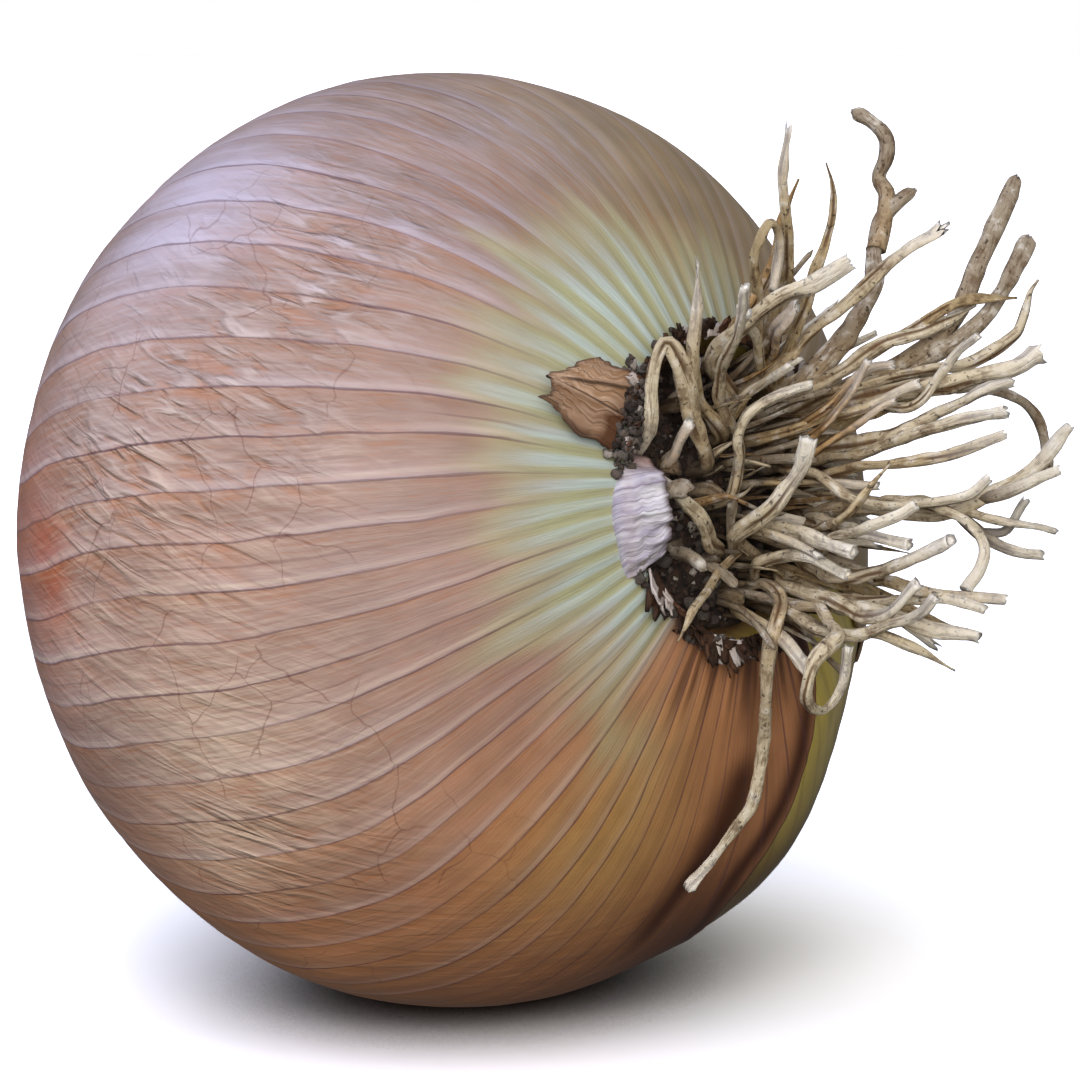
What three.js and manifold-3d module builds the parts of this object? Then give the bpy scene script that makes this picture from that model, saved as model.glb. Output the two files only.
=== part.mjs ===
// A brown onion lying on its side, with its tuft of dried roots.
// Units are millimetres and +Z is up. +X points to the root end, and the origin is the
// middle of the small flat spot that the bulb rests on.
//
// Inside the bulb's own group +Z runs along the bulb's axis to the root end, +X points
// down and +Y to the far side. A clock angle goes round that axis: 0 degrees faces the
// near side (-Y) and 90 degrees faces down. A latitude runs from the neck to the roots,
// with 0 at the widest place.

import * as THREE from 'three';
import { mergeVertices } from 'three/addons/utils/BufferGeometryUtils.js';
import Module from 'manifold-3d';

const { degToRad, lerp, smoothstep } = THREE.MathUtils;

// Driving dimensions of the bulb
const BULB_RADIUS = 40;
const BULB_HALF_LENGTH = 33.4;
const BULB_TILT = degToRad(10.4);
const CENTRE_HEIGHT = 38.3;
const CENTRE_BEHIND_REST = 2.1;

// Dry outer skin, open along one side where it has split
const SKIN_THICKNESS = 0.7;
const SKIN_GAP = 0.4;
const REST_GAP = 0.5;
const SKIN_LATITUDES = [-79, -73, -66, -58, -49, -40, -31.5, -23.3, -16, -8.7, -1.4, 5.9, 15, 26, 37, 48, 58, 66, 72.3];
const SKIN_FIRST_CLOCK = 150;
const SKIN_LAST_CLOCK = 466;
const SKIN_EDGE_LIFT = 0.5;
const SKIN_RIBS = 44;
const RIB_HEIGHT = 0.5;

// Neck, dried to a short pleated stub
const NECK_START_LATITUDE = -65;
const NECK_RADIUS = 6.2;
const NECK_BEND_RADIUS = 7.5;
const NECK_END = -45;
const NECK_PLEATS = 12;
const NECK_RAGGEDNESS = 1.1;

// Root plate, sunk a little below the shoulder of the skin and off the bulb's axis
const PLATE_RADIUS = 11;
const PLATE_PLANE = 30.4;
const PLATE_BOTTOM = 28.7;
const PLATE_DOME = 1.1;
const PLATE_OFF_AXIS_UP = 1.6;
const PLATE_OFF_AXIS_NEAR = 2.9;
const POCKET_FLOOR = 28.2;
const POCKET_RADIUS = 11.5;

// Roots
const ROOT_SIDES = 5;
const ROOT_STEP = 3.8;
const ROOT_STANDING = 3;
const ROOT_CLEARANCE = 0.9;
const FILL_ROOTS = 20;
const FILL_ROOT_SEED = 71;
const GOLDEN_ANGLE = degToRad(137.508);

// Roots that stand out, each a route through points chosen by hand. A point is given
// from the middle of the root plate: out along the axis, up, and to the far side.
const ROOTS = [
	{ name: 'near hairpin', girth: 1.4, route: [[-1, 2, -3], [3, 5, -5], [5, 10, -8], [5, 12, -9], [4, 9, -10], [3, 6, -10], [-1, 3, -9]] },
	{ name: 'near band', girth: 1.2, route: [[-1, -5, -2], [3, -4, -5], [4, -2, -7], [3, 0, -8], [-1, 2, -7]] },
	{ name: 'near upright', girth: 1.1, route: [[-1, 4, -1], [3, 7, -4], [6, 11, -7], [8, 17, -8]] },
	{ name: 'second upright', girth: 1.1, route: [[-1, 4, 1], [4, 7, -3], [8, 10, -6], [14, 15, -10]] },
	{ name: 'third upright', girth: 1.1, route: [[-1, 5, 4], [3, 7, 0], [6, 9, -4], [12, 13, -8]] },
	{ name: 'fourth upright', girth: 1.0, route: [[-1, 6, 7], [4, 8, 4], [6, 10, 0], [9, 14, -4]] },
	{ name: 'snaking', girth: 1.2, route: [[-1, 0, -3], [3, -1, -2], [5, 2, -2], [7, 6, -3], [9, 7, 0], [10, 7, 2]] },
	{ name: 'short dark', girth: 1.0, route: [[-1, -5, -1], [3, -3, -2], [5, -1, -4]] },
	{ name: 'thick curl', girth: 1.4, route: [[-1, -6, 2], [3, -4, -1], [7, -2, -2], [10, 1, -1], [11, 3, -1]] },
	{ name: 'middle straight', girth: 1.3, route: [[-1, -4, 3], [3, -4, 1], [7, -4, 0], [11, -5, -1], [14, -6, -1]] },
	{ name: 'middle low', girth: 1.1, route: [[-1, -7, 2], [4, -6, 0], [7, -6, 0], [12, -8, 0]] },
	{ name: 'low near', girth: 0.9, route: [[-1, -5, 0], [2, -7, -4], [4, -9, -9], [4, -11, -12]] },
	{ name: 'hanging', girth: 1.4, route: [[-1, -8, 1], [3, -8, 1], [5, -9, 0], [5, -12, -1], [4, -16, -1], [1, -20, 1],
		[-1, -25, 1], [-3, -28, 0], [-6, -32, -2]] },
	{ name: 'hanging loop', girth: 1.1, route: [[-1, -9, 2], [6, -10, 1], [13, -12, -3], [13, -14, -7], [12, -17, -7],
		[12, -18, -5], [13, -16, -3], [14, -13, -3]] },
	{ name: 'low fork', girth: 1.2, route: [[-1, -8, 4], [3, -9, 2], [10, -12, -1], [17, -12, -1], [21, -10, -1]] },
	{ name: 'low fork, upper', girth: 1.2, route: [[-1, -7, 5], [4, -8, 2], [11, -10, 0], [16, -11, -1], [19, -9, -1]] },
	{ name: 'thick middle', girth: 1.4, route: [[-1, -5, 6], [6, -7, 3], [15, -8, 0], [23, -6, -1]] },
	{ name: 'middle short', girth: 1.2, route: [[-1, -4, 7], [7, -4, 4], [14, -5, 1], [18, -6, 1]] },
	{ name: 'thin riser', girth: 0.9, route: [[-1, -3, 8], [6, -4, 4], [13, -3, 0], [16, 0, 2]] },
	{ name: 'thin crossing', girth: 1.0, route: [[-1, -5, 8], [7, -6, 3], [16, -4, -2], [19, -3, 0]] },
	{ name: 'long middle', girth: 1.1, route: [[-1, 1, 6], [6, 1, 4], [14, -3, 3], [20, -3, 5], [22, -2, 6]] },
	{ name: 'thick upper, flared', girth: 1.6, route: [[-1, 4, 8], [6, 5, 9], [13, 6, 12], [19, 6, 14], [21, 7, 17]] },
	{ name: 'upper, turned up', girth: 1.1, route: [[-1, 5, 8], [8, 7, 12], [16, 7, 15], [19, 10, 18], [20, 13, 20]] },
	{ name: 'upper branch', girth: 1.0, route: [[-1, 4, 9], [7, 5, 10], [14, 5, 11], [17, 8, 12], [19, 9, 12]] },
	{ name: 'far thick', girth: 1.4, route: [[-1, 2, 8], [6, 2, 8], [14, 3, 9], [20, 5, 11], [21, 5, 13]] },
	{ name: 'far straight', girth: 1.3, route: [[-1, 1, 9], [6, 1, 8], [15, 2, 8], [22, 3, 10]] },
	{ name: 'far thin', girth: 1.1, route: [[-1, 0, 8], [7, 0, 6], [15, 0, 5], [22, 1, 9]] },
	{ name: 'longest', girth: 1.2, route: [[-1, -3, 8], [9, -3, 7], [19, -4, 7], [23, -2, 11], [26, 1, 12]] },
	{ name: 'longest, side branch', girth: 1.1, route: [[18, -4, 7], [24, -3, 9], [26, -2, 10]] },
	{ name: 'far arch', girth: 1.3, route: [[-1, 5, 9], [6, 7, 15], [12, 5, 23], [13, 3, 27], [13, -1, 29], [12, -3, 30]] },
	{ name: 'far low', girth: 1.0, route: [[-1, -2, 9], [9, -3, 8], [16, -3, 7], [22, -6, 8], [24, -7, 11]] },
	{ name: 'far low, first branch', girth: 1.0, route: [[18, -4, 7], [20, -7, 8], [23, -8, 11]] },
	{ name: 'far low, second branch', girth: 0.9, route: [[19, -6, 8], [21, -6, 9], [22, -4, 11]] },
	{ name: 'drooping', girth: 1.1, route: [[-1, -4, 9], [9, -3, 7], [19, -4, 5], [21, -7, 6], [20, -10, 4]] },
	{ name: 'low far', girth: 1.0, route: [[-1, -6, 7], [10, -8, 5], [18, -10, 2], [22, -11, 6]] },
	{ name: 'low far, second', girth: 1.1, route: [[-1, -8, 5], [8, -10, 3], [19, -11, 3], [21, -12, 5]] },
	{ name: 'low thick', girth: 1.4, route: [[-1, -8, 4], [8, -10, 3], [14, -11, 1], [21, -14, 4]] },
	{ name: 'lowest', girth: 1.1, route: [[-1, -9, 3], [10, -12, 0], [15, -13, 0], [18, -16, 4]] },
	{ name: 'pale thick', girth: 1.5, route: [[-1, 7, 2], [4, 10, -2], [9, 13, -3], [14, 15, -1], [16, 16, 1]] },
	{ name: 'tall', girth: 1.1, route: [[-1, 7, 6], [5, 12, 4], [9, 17, 2], [11, 22, 0], [12, 27, 0]] },
	{ name: 'upper hairpin', girth: 0.9, route: [[-1, 8, 5], [6, 13, 1], [9, 17, -2], [11, 20, -2], [10, 18, 0], [9, 15, 0]] },
	{ name: 'tall, crooked', girth: 1.1, route: [[-1, 7, 7], [8, 12, 3], [11, 17, 4], [12, 21, 5], [12, 24, 5]] },
	{ name: 'far tall', girth: 1.4, route: [[-1, 6, 7], [6, 10, 11], [8, 15, 13], [8, 20, 17], [9, 22, 20]] },
	{ name: 'far tall, crooked', girth: 1.3, route: [[-1, 6, 8], [6, 10, 13], [8, 15, 16], [8, 20, 19], [8, 25, 18], [7, 29, 17]] },
	{ name: 'far thick riser', girth: 1.5, route: [[-1, 4, 8], [7, 7, 14], [12, 10, 18], [14, 17, 23], [15, 22, 27]] },
	{ name: 'far riser', girth: 1.3, route: [[-1, 4, 9], [8, 7, 15], [14, 10, 19], [16, 17, 26]] },
	{ name: 'far wisp', girth: 1.0, route: [[-1, 6, 7], [8, 9, 13], [14, 12, 17], [17, 12, 21]] },
	{ name: 'ochre', girth: 1.1, route: [[-1, 8, 4], [4, 10, 4], [8, 12, 1], [10, 14, 1]] },
	{ name: 'ochre, lower', girth: 0.9, route: [[-1, 3, 6], [8, 5, 5], [11, 8, 8], [13, 8, 9]] },
	{ name: 'ochre, middle', girth: 0.9, route: [[-1, 2, 7], [7, 3, 5], [13, 8, 6]] },
	{ name: 'ochre, side', girth: 0.9, route: [[-1, 1, 7], [8, 2, 4], [13, 5, 9]] },
];

const SKIN = new THREE.MeshStandardMaterial({ name: 'papery skin', color: 0xa98570, roughness: 0.45, metalness: 0 });
const FLESH = new THREE.MeshStandardMaterial({ name: 'inner scale', color: 0x887644, roughness: 0.5, metalness: 0 });
const ROOT = new THREE.MeshStandardMaterial({ name: 'dried root', color: 0xc9b795, roughness: 0.85, metalness: 0 });
const BROWN_FLAP = new THREE.MeshStandardMaterial({ name: 'torn brown scale', color: 0xa67c5f, roughness: 0.7, metalness: 0 });
const PALE_FLAP = new THREE.MeshStandardMaterial({ name: 'torn pale scale', color: 0xcbbcba, roughness: 0.6, metalness: 0 });

// A repeatable stream of numbers between 0 and 1
function seededDraw(seed) {
	let state = seed >>> 0;
	return () => {
		state = (Math.imul(state, 1664525) + 1013904223) >>> 0;
		return state / 4294967296;
	};
}

// Radius and height along the axis at a latitude, on the outside of the skin. Past
// NECK_START_LATITUDE the curve leaves the ellipse and runs out along the neck, with
// its end at -90 degrees.
function profile(latitude) {
	const onEllipse = (angle) => new THREE.Vector2(
		BULB_RADIUS * Math.cos(degToRad(angle)),
		BULB_HALF_LENGTH * Math.sin(degToRad(angle)),
	);
	if (latitude >= NECK_START_LATITUDE) return onEllipse(latitude);
	const start = onEllipse(NECK_START_LATITUDE);
	const before = onEllipse(NECK_START_LATITUDE + 1);
	const slope = (start.y - before.y) / (start.x - before.x);
	const bend = new THREE.Vector2(NECK_BEND_RADIUS, start.y + slope * (NECK_BEND_RADIUS - start.x));
	const end = new THREE.Vector2(NECK_RADIUS, NECK_END);
	const neck = new THREE.QuadraticBezierCurve(start, bend, end);
	return neck.getPoint((NECK_START_LATITUDE - latitude) / (NECK_START_LATITUDE + 90));
}

// The same curve moved inward by a depth along its normal
function sunkenProfile(latitude, depth) {
	const here = profile(latitude);
	const tangent = profile(Math.min(latitude + 0.5, 89.5)).sub(profile(Math.max(latitude - 0.5, -90))).normalize();
	return new THREE.Vector2(here.x - tangent.y * depth, here.y + tangent.x * depth);
}

// A point round the axis, with the root end drawn towards the plate's own centre
function roundAxis(radius, along, latitude, clock) {
	const drawn = smoothstep(latitude, 20, 75);
	return new THREE.Vector3(
		radius * Math.sin(degToRad(clock)) - PLATE_OFF_AXIS_UP * drawn,
		-radius * Math.cos(degToRad(clock)) - PLATE_OFF_AXIS_NEAR * drawn,
		along,
	);
}

const UP = new THREE.Vector3(-Math.cos(BULB_TILT), 0, Math.sin(BULB_TILT));

// Lifts a point of the bulb's group to at least the given height over the surface
function flattened(point, floor) {
	const height = CENTRE_HEIGHT + point.dot(UP);
	return height < floor ? point.addScaledVector(UP, floor - height) : point;
}

function bulbPoint(latitude, clock, depth, floor = Math.max(depth, 0)) {
	const at = sunkenProfile(latitude, depth);
	return flattened(roundAxis(at.x, at.y, latitude, clock), floor);
}

// Collects vertices and triangles of one closed body
class Body {
	constructor() {
		this.vertices = [];
		this.triangles = [];
	}

	vertex(point) {
		this.vertices.push(point.x, point.y, point.z);
		return this.vertices.length / 3 - 1;
	}

	triangle(a, b, c) {
		this.triangles.push(a, b, c);
	}

	quad(a, b, c, d) {
		this.triangle(a, b, c);
		this.triangle(a, c, d);
	}

	geometry() {
		const geometry = new THREE.BufferGeometry();
		geometry.setAttribute('position', new THREE.Float32BufferAttribute(this.vertices, 3));
		geometry.setIndex(this.triangles);
		return geometry;
	}
}

// Clock angle of the skin's split edge on the near side. It swings away from the rest
// spot, then climbs under the roots.
function nearEdgeClock(latitude) {
	const underRoots = lerp(97, 115, smoothstep(latitude, 28, 72));
	const pastRest = lerp(109, 0, smoothstep(latitude, 8, 34)) + underRoots * smoothstep(latitude, 8, 34);
	return pastRest + 1.2 * Math.sin(degToRad(latitude * 9));
}

function farEdgeClock(latitude) {
	return SKIN_FIRST_CLOCK + 3 * Math.sin(degToRad(latitude * 3 + 40)) + 1.3 * Math.sin(degToRad(latitude * 11));
}

// Clock angle of a column, with only the columns next to an edge bent to follow it
function skinClock(along, latitude) {
	const straight = lerp(SKIN_FIRST_CLOCK, SKIN_LAST_CLOCK, along);
	const farBend = (farEdgeClock(latitude) - SKIN_FIRST_CLOCK) * (1 - smoothstep(along, 0, 0.12));
	const nearBend = (nearEdgeClock(latitude) + 360 - SKIN_LAST_CLOCK) * smoothstep(along, 0.86, 1);
	return straight + farBend + nearBend;
}

// The dry outer skin: ribs on the outside, smooth inside, free edges a little raised
function outerSkin() {
	const body = new Body();
	const columns = 2 * SKIN_RIBS;
	const rows = SKIN_LATITUDES.length - 1;
	const draw = seededDraw(5);
	const rootFray = Array.from({ length: columns + 1 }, () => 1.1 * draw() - 0.6);
	const neckFray = Array.from({ length: columns + 1 }, () => 3.2 * draw());

	const skinPoint = (row, column, inside) => {
		const along = column / columns;
		const fray = row === 0 ? neckFray[column] : row === rows ? rootFray[column] : 0;
		const latitude = SKIN_LATITUDES[row] + fray;
		const ribs = RIB_HEIGHT * (0.3 + 0.7 * smoothstep(Math.abs(latitude + 5), 25, 70)) * (column % 2);
		const nearEdge = Math.max(1 - along * 30, 1 - (1 - along) * 30, 0);
		const lift = SKIN_EDGE_LIFT * nearEdge * smoothstep(Math.abs(latitude + 8), 18, 40);
		return bulbPoint(latitude, skinClock(along, latitude), inside ? SKIN_THICKNESS - lift : -ribs - lift);
	};

	const grid = (columnStep, inside) => Array.from({ length: rows + 1 }, (_, row) =>
		Array.from({ length: columns / columnStep + 1 }, (_, i) => body.vertex(skinPoint(row, i * columnStep, inside))));
	const outer = grid(1, false);
	const inner = grid(2, true);

	for (let row = 0; row < rows; row++) {
		for (let i = 0; i < columns; i++) {
			body.quad(outer[row][i], outer[row][i + 1], outer[row + 1][i + 1], outer[row + 1][i]);
		}
		for (let i = 0; i < SKIN_RIBS; i++) {
			body.quad(inner[row][i + 1], inner[row][i], inner[row + 1][i], inner[row + 1][i + 1]);
		}
		body.quad(outer[row][0], outer[row + 1][0], inner[row + 1][0], inner[row][0]);
		body.quad(outer[row + 1][columns], outer[row][columns], inner[row][SKIN_RIBS], inner[row + 1][SKIN_RIBS]);
	}
	for (let i = 0; i < SKIN_RIBS; i++) {
		for (const [row, turned] of [[0, false], [rows, true]]) {
			const rim = [outer[row][2 * i], outer[row][2 * i + 1], outer[row][2 * i + 2]];
			const lining = [inner[row][i], inner[row][i + 1]];
			const triangles = [[rim[1], rim[0], lining[0]], [rim[1], lining[0], lining[1]], [rim[2], rim[1], lining[1]]];
			for (const [a, b, c] of triangles) body.triangle(a, turned ? c : b, turned ? b : c);
		}
	}
	return body.geometry();
}

// The bulb itself: the next scale in, the pocket for the root plate and the pleated neck
function bulb() {
	const body = new Body();
	const columns = 48;
	const depth = SKIN_THICKNESS + SKIN_GAP;
	const draw = seededDraw(11);
	const neckFray = Array.from({ length: columns }, () => NECK_RAGGEDNESS * draw());
	const latitudes = [-90, -84, -78, -71, -64, -55, -46, -37, -29, -21, -13, -5, 3, 11, 20, 31, 42, 52, 62, 70];

	const ring = (pointAt) => Array.from({ length: columns }, (_, i) => body.vertex(pointAt(i, 360 * i / columns)));
	const rings = latitudes.map((latitude) => ring((i, clock) => {
		const point = bulbPoint(latitude, clock, depth, depth + REST_GAP);
		const neck = smoothstep(-latitude, 66, 84);
		const pleat = 1 - 0.09 * neck * (1 - Math.cos(degToRad(NECK_PLEATS * clock)));
		point.x *= pleat;
		point.y *= pleat;
		if (latitude === -90) point.z += neckFray[i];
		return point;
	}));
	rings.push(ring((i, clock) => roundAxis(POCKET_RADIUS, POCKET_FLOOR, 90, clock)));

	for (let row = 0; row + 1 < rings.length; row++) {
		for (let i = 0; i < columns; i++) {
			const next = (i + 1) % columns;
			body.quad(rings[row][i], rings[row][next], rings[row + 1][next], rings[row + 1][i]);
		}
	}
	const neckMiddle = body.vertex(roundAxis(0, NECK_END + 3, -90, 0));
	const pocketMiddle = body.vertex(roundAxis(0, POCKET_FLOOR, 90, 0));
	for (let i = 0; i < columns; i++) {
		const next = (i + 1) % columns;
		body.triangle(neckMiddle, rings[0][next], rings[0][i]);
		body.triangle(pocketMiddle, rings.at(-1)[i], rings.at(-1)[next]);
	}
	return body.geometry();
}

// A point given from the middle of the root plate
function fromPlate([out, up, far]) {
	return new THREE.Vector3(-up - PLATE_OFF_AXIS_UP, far - PLATE_OFF_AXIS_NEAR, PLATE_PLANE + out);
}

// Moves a point of a root outward where it would touch the skin
function bentClear(point, girth) {
	const radius = Math.hypot(point.x, point.y);
	const fromPlateAxis = Math.hypot(point.x + PLATE_OFF_AXIS_UP, point.y + PLATE_OFF_AXIS_NEAR);
	if (fromPlateAxis < PLATE_RADIUS) return point;
	const wanted = ROOT_CLEARANCE + girth / 2 + SKIN_EDGE_LIFT;
	const reach = Math.hypot(radius / (BULB_RADIUS + wanted), point.z / (BULB_HALF_LENGTH + wanted));
	return reach < 1 ? point.multiplyScalar(1 / reach) : point;
}

// A route in the bulb's group: it leaves the plate straight, and then bends as it will
function rootCurve(route, girth) {
	const [foot, ...rest] = route;
	const standing = [foot[0] + ROOT_STANDING, foot[1], foot[2]];
	const leavesPlate = foot[0] < 0;
	const points = (leavesPlate ? [foot, standing, ...rest] : route).map(fromPlate);
	return new THREE.CatmullRomCurve3(points.map((point) => bentClear(point, girth)), false, 'centripetal');
}

// A root: a tapering tube along a smooth curve, closed at both ends
function rootTube({ route, girth }) {
	const curve = rootCurve(route, girth);
	const steps = Math.max(4, Math.round(curve.getLength() / ROOT_STEP));
	const frames = curve.computeFrenetFrames(steps, false);
	const body = new Body();
	const rings = Array.from({ length: steps + 1 }, (_, step) => {
		const centre = curve.getPointAt(step / steps);
		const radius = girth / 2 * lerp(1.15, 0.85, step / steps);
		return Array.from({ length: ROOT_SIDES }, (_, side) => {
			const angle = 2 * Math.PI * side / ROOT_SIDES;
			const point = centre.clone()
				.addScaledVector(frames.normals[step], radius * Math.cos(angle))
				.addScaledVector(frames.binormals[step], radius * Math.sin(angle));
			return body.vertex(point);
		});
	});
	for (let step = 0; step < steps; step++) {
		for (let side = 0; side < ROOT_SIDES; side++) {
			const next = (side + 1) % ROOT_SIDES;
			body.quad(rings[step][side], rings[step][next], rings[step + 1][next], rings[step + 1][side]);
		}
	}
	for (let side = 1; side + 1 < ROOT_SIDES; side++) {
		body.triangle(rings[0][0], rings[0][side + 1], rings[0][side]);
		body.triangle(rings[steps][0], rings[steps][side], rings[steps][side + 1]);
	}
	return body.geometry();
}

// The shorter roots between the named ones: spread over the plate as seeds
// are in a sunflower, standing up first and then leaning out and to the far side
function fillRoots() {
	const draw = seededDraw(FILL_ROOT_SEED);
	return Array.from({ length: FILL_ROOTS }, (_, i) => {
		const spread = (PLATE_RADIUS - 1.4) * Math.sqrt((i + 0.6) / FILL_ROOTS);
		const angle = i * GOLDEN_ANGLE;
		const foot = new THREE.Vector3(-1, spread * Math.sin(angle), spread * Math.cos(angle));
		const lean = new THREE.Vector3(0, foot.y, foot.z).multiplyScalar(0.09);
		lean.add(new THREE.Vector3(0, 0.5 * draw() - 0.25, 0.5 * draw()));
		lean.z = Math.max(lean.z, -0.1);
		const length = lerp(8, 19, draw());
		const route = [0, 0.3, 0.65, 1].map((share) => {
			const sway = new THREE.Vector3(0, draw() - 0.5, draw() - 0.5).multiplyScalar(2.4 * share);
			const point = foot.clone().addScaledVector(lean, length * share * share).add(sway);
			point.x += length * share * 0.95;
			return point.toArray();
		});
		return { girth: lerp(0.9, 1.3, draw()), route };
	});
}

// The root plate, crusted with soil, as a low dome with an uneven top
function rootPlate() {
	const draw = seededDraw(23);
	const top = PLATE_PLANE - 0.3;
	const outline = [
		new THREE.Vector2(0, PLATE_BOTTOM),
		new THREE.Vector2(PLATE_RADIUS - 0.6, PLATE_BOTTOM),
		new THREE.Vector2(PLATE_RADIUS, top - 0.6),
		new THREE.Vector2(PLATE_RADIUS - 1, top),
		new THREE.Vector2(PLATE_RADIUS * 0.65, top + PLATE_DOME * 0.5),
		new THREE.Vector2(PLATE_RADIUS * 0.33, top + PLATE_DOME * 0.85),
		new THREE.Vector2(0, top + PLATE_DOME),
	];
	const lathe = new THREE.LatheGeometry(outline, 22);
	lathe.rotateX(Math.PI / 2);
	const plain = mergedPositions(lathe);
	const position = plain.getAttribute('position');
	for (let i = 0; i < position.count; i++) {
		const crumb = 0.7 * (draw() - 0.5);
		if (position.getZ(i) > top - 0.1) position.setZ(i, position.getZ(i) + crumb);
	}
	plain.translate(-PLATE_OFF_AXIS_UP, -PLATE_OFF_AXIS_NEAR, 0);
	return plain;
}

function mergedPositions(geometry) {
	geometry.deleteAttribute('normal');
	geometry.deleteAttribute('uv');
	return mergeVertices(geometry, 1e-4);
}

const wasm = await Module();
wasm.setup();

function toSolid(geometry) {
	const mesh = new wasm.Mesh({
		numProp: 3,
		vertProperties: new Float32Array(geometry.getAttribute('position').array),
		triVerts: new Uint32Array(geometry.getIndex().array),
	});
	return new wasm.Manifold(mesh);
}

// Keeps the shell with the most triangles, so sealed hollows are filled and loose scraps
// dropped
function mainShell(triangles, vertexCount) {
	const parent = Array.from({ length: vertexCount }, (_, i) => i);
	const root = (i) => {
		while (parent[i] !== i) {
			parent[i] = parent[parent[i]];
			i = parent[i];
		}
		return i;
	};
	for (let i = 0; i < triangles.length; i += 3) {
		parent[root(triangles[i + 1])] = root(triangles[i]);
		parent[root(triangles[i + 2])] = root(triangles[i]);
	}
	const shells = new Map();
	for (let i = 0; i < triangles.length; i += 3) {
		const shell = root(triangles[i]);
		if (!shells.has(shell)) shells.set(shell, []);
		shells.get(shell).push(triangles[i], triangles[i + 1], triangles[i + 2]);
	}
	return [...shells.values()].reduce((most, shell) => (shell.length > most.length ? shell : most));
}

// Fuses closed geometries into one
function fused(geometries) {
	const joined = geometries.map(toSolid).reduce((whole, part) => whole.add(part));
	const { vertProperties, triVerts } = joined.getMesh();
	const geometry = new THREE.BufferGeometry();
	geometry.setAttribute('position', new THREE.Float32BufferAttribute(vertProperties, 3));
	geometry.setIndex(mainShell(Array.from(triVerts), vertProperties.length / 3));
	return mergeVertices(geometry, 1e-4);
}

function rootTuft() {
	return fused([rootPlate(), ...[...ROOTS, ...fillRoots()].map(rootTube)]);
}

// A thin sheet of even thickness from a grid of points on its lower face
function sheet(rows, columns, thickness, pointAt) {
	const body = new Body();
	const low = [];
	const high = [];
	for (let row = 0; row <= rows; row++) {
		low.push([]);
		high.push([]);
		for (let column = 0; column <= columns; column++) {
			const [u, v] = [row / rows, column / columns];
			const point = pointAt(u, v);
			const alongU = pointAt(u + 0.01, v).sub(pointAt(u - 0.01, v));
			const alongV = pointAt(u, v + 0.01).sub(pointAt(u, v - 0.01));
			const normal = alongU.cross(alongV).normalize();
			low[row].push(body.vertex(point));
			high[row].push(body.vertex(point.clone().addScaledVector(normal, thickness)));
		}
	}
	for (let row = 0; row < rows; row++) {
		for (let column = 0; column < columns; column++) {
			body.quad(high[row][column], high[row + 1][column], high[row + 1][column + 1], high[row][column + 1]);
			body.quad(low[row][column], low[row][column + 1], low[row + 1][column + 1], low[row + 1][column]);
		}
		body.quad(low[row][0], low[row + 1][0], high[row + 1][0], high[row][0]);
		body.quad(low[row + 1][columns], low[row][columns], high[row][columns], high[row + 1][columns]);
	}
	for (let column = 0; column < columns; column++) {
		body.quad(low[0][column + 1], low[0][column], high[0][column], high[0][column + 1]);
		body.quad(low[rows][column], low[rows][column + 1], high[rows][column + 1], high[rows][column]);
	}
	return body.geometry();
}

// A torn brown scale that lies back over the skin beside the root plate
function brownFlap() {
	const baseLatitude = 70.5;
	const length = 11.5;
	const baseWidth = 23;
	const middleClock = -30.5;
	return sheet(6, 4, 0.6, (u, v) => {
		const narrowing = lerp(1, 0.22, Math.max(u, 0) ** 1.2);
		const side = (v - 0.5) * baseWidth * narrowing + 4.5 * u;
		const raised = 0.9 + 1.3 * u + 0.5 * Math.sin(u * 5) * (v - 0.5);
		return bulbPoint(baseLatitude - length * u, middleClock + side, -raised);
	});
}

// A torn pale scale that stands at the plate's near rim and leans in over it
function paleFlap() {
	const foot = PLATE_RADIUS + 0.72;
	return sheet(4, 6, 0.6, (u, v) => {
		const clock = lerp(-14, 30, v);
		const out = lerp(-0.1, 4.2, u) + 0.5 * Math.sin(v * 7) * u;
		const radius = foot - 1.2 * u * u;
		const angle = degToRad(clock);
		return fromPlate([out, -radius * Math.sin(angle), -radius * Math.cos(angle)]);
	});
}

const onion = new THREE.Group();
onion.name = 'onion';

const lying = new THREE.Group();
lying.position.set(-CENTRE_BEHIND_REST, 0, CENTRE_HEIGHT);
lying.rotation.y = Math.PI / 2 - BULB_TILT;
onion.add(lying);

function addPiece(name, geometry, material) {
	const mesh = new THREE.Mesh(geometry, material);
	mesh.name = name;
	lying.add(mesh);
}

addPiece('bulb', bulb(), FLESH);
addPiece('outer_skin', outerSkin(), SKIN);
addPiece('root_tuft', rootTuft(), ROOT);
addPiece('brown_scale_flap', brownFlap(), BROWN_FLAP);
addPiece('pale_scale_flap', paleFlap(), PALE_FLAP);

export default onion;
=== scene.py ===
import logging
import math
from collections.abc import Callable
from dataclasses import dataclass, field
from enum import Enum

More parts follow.
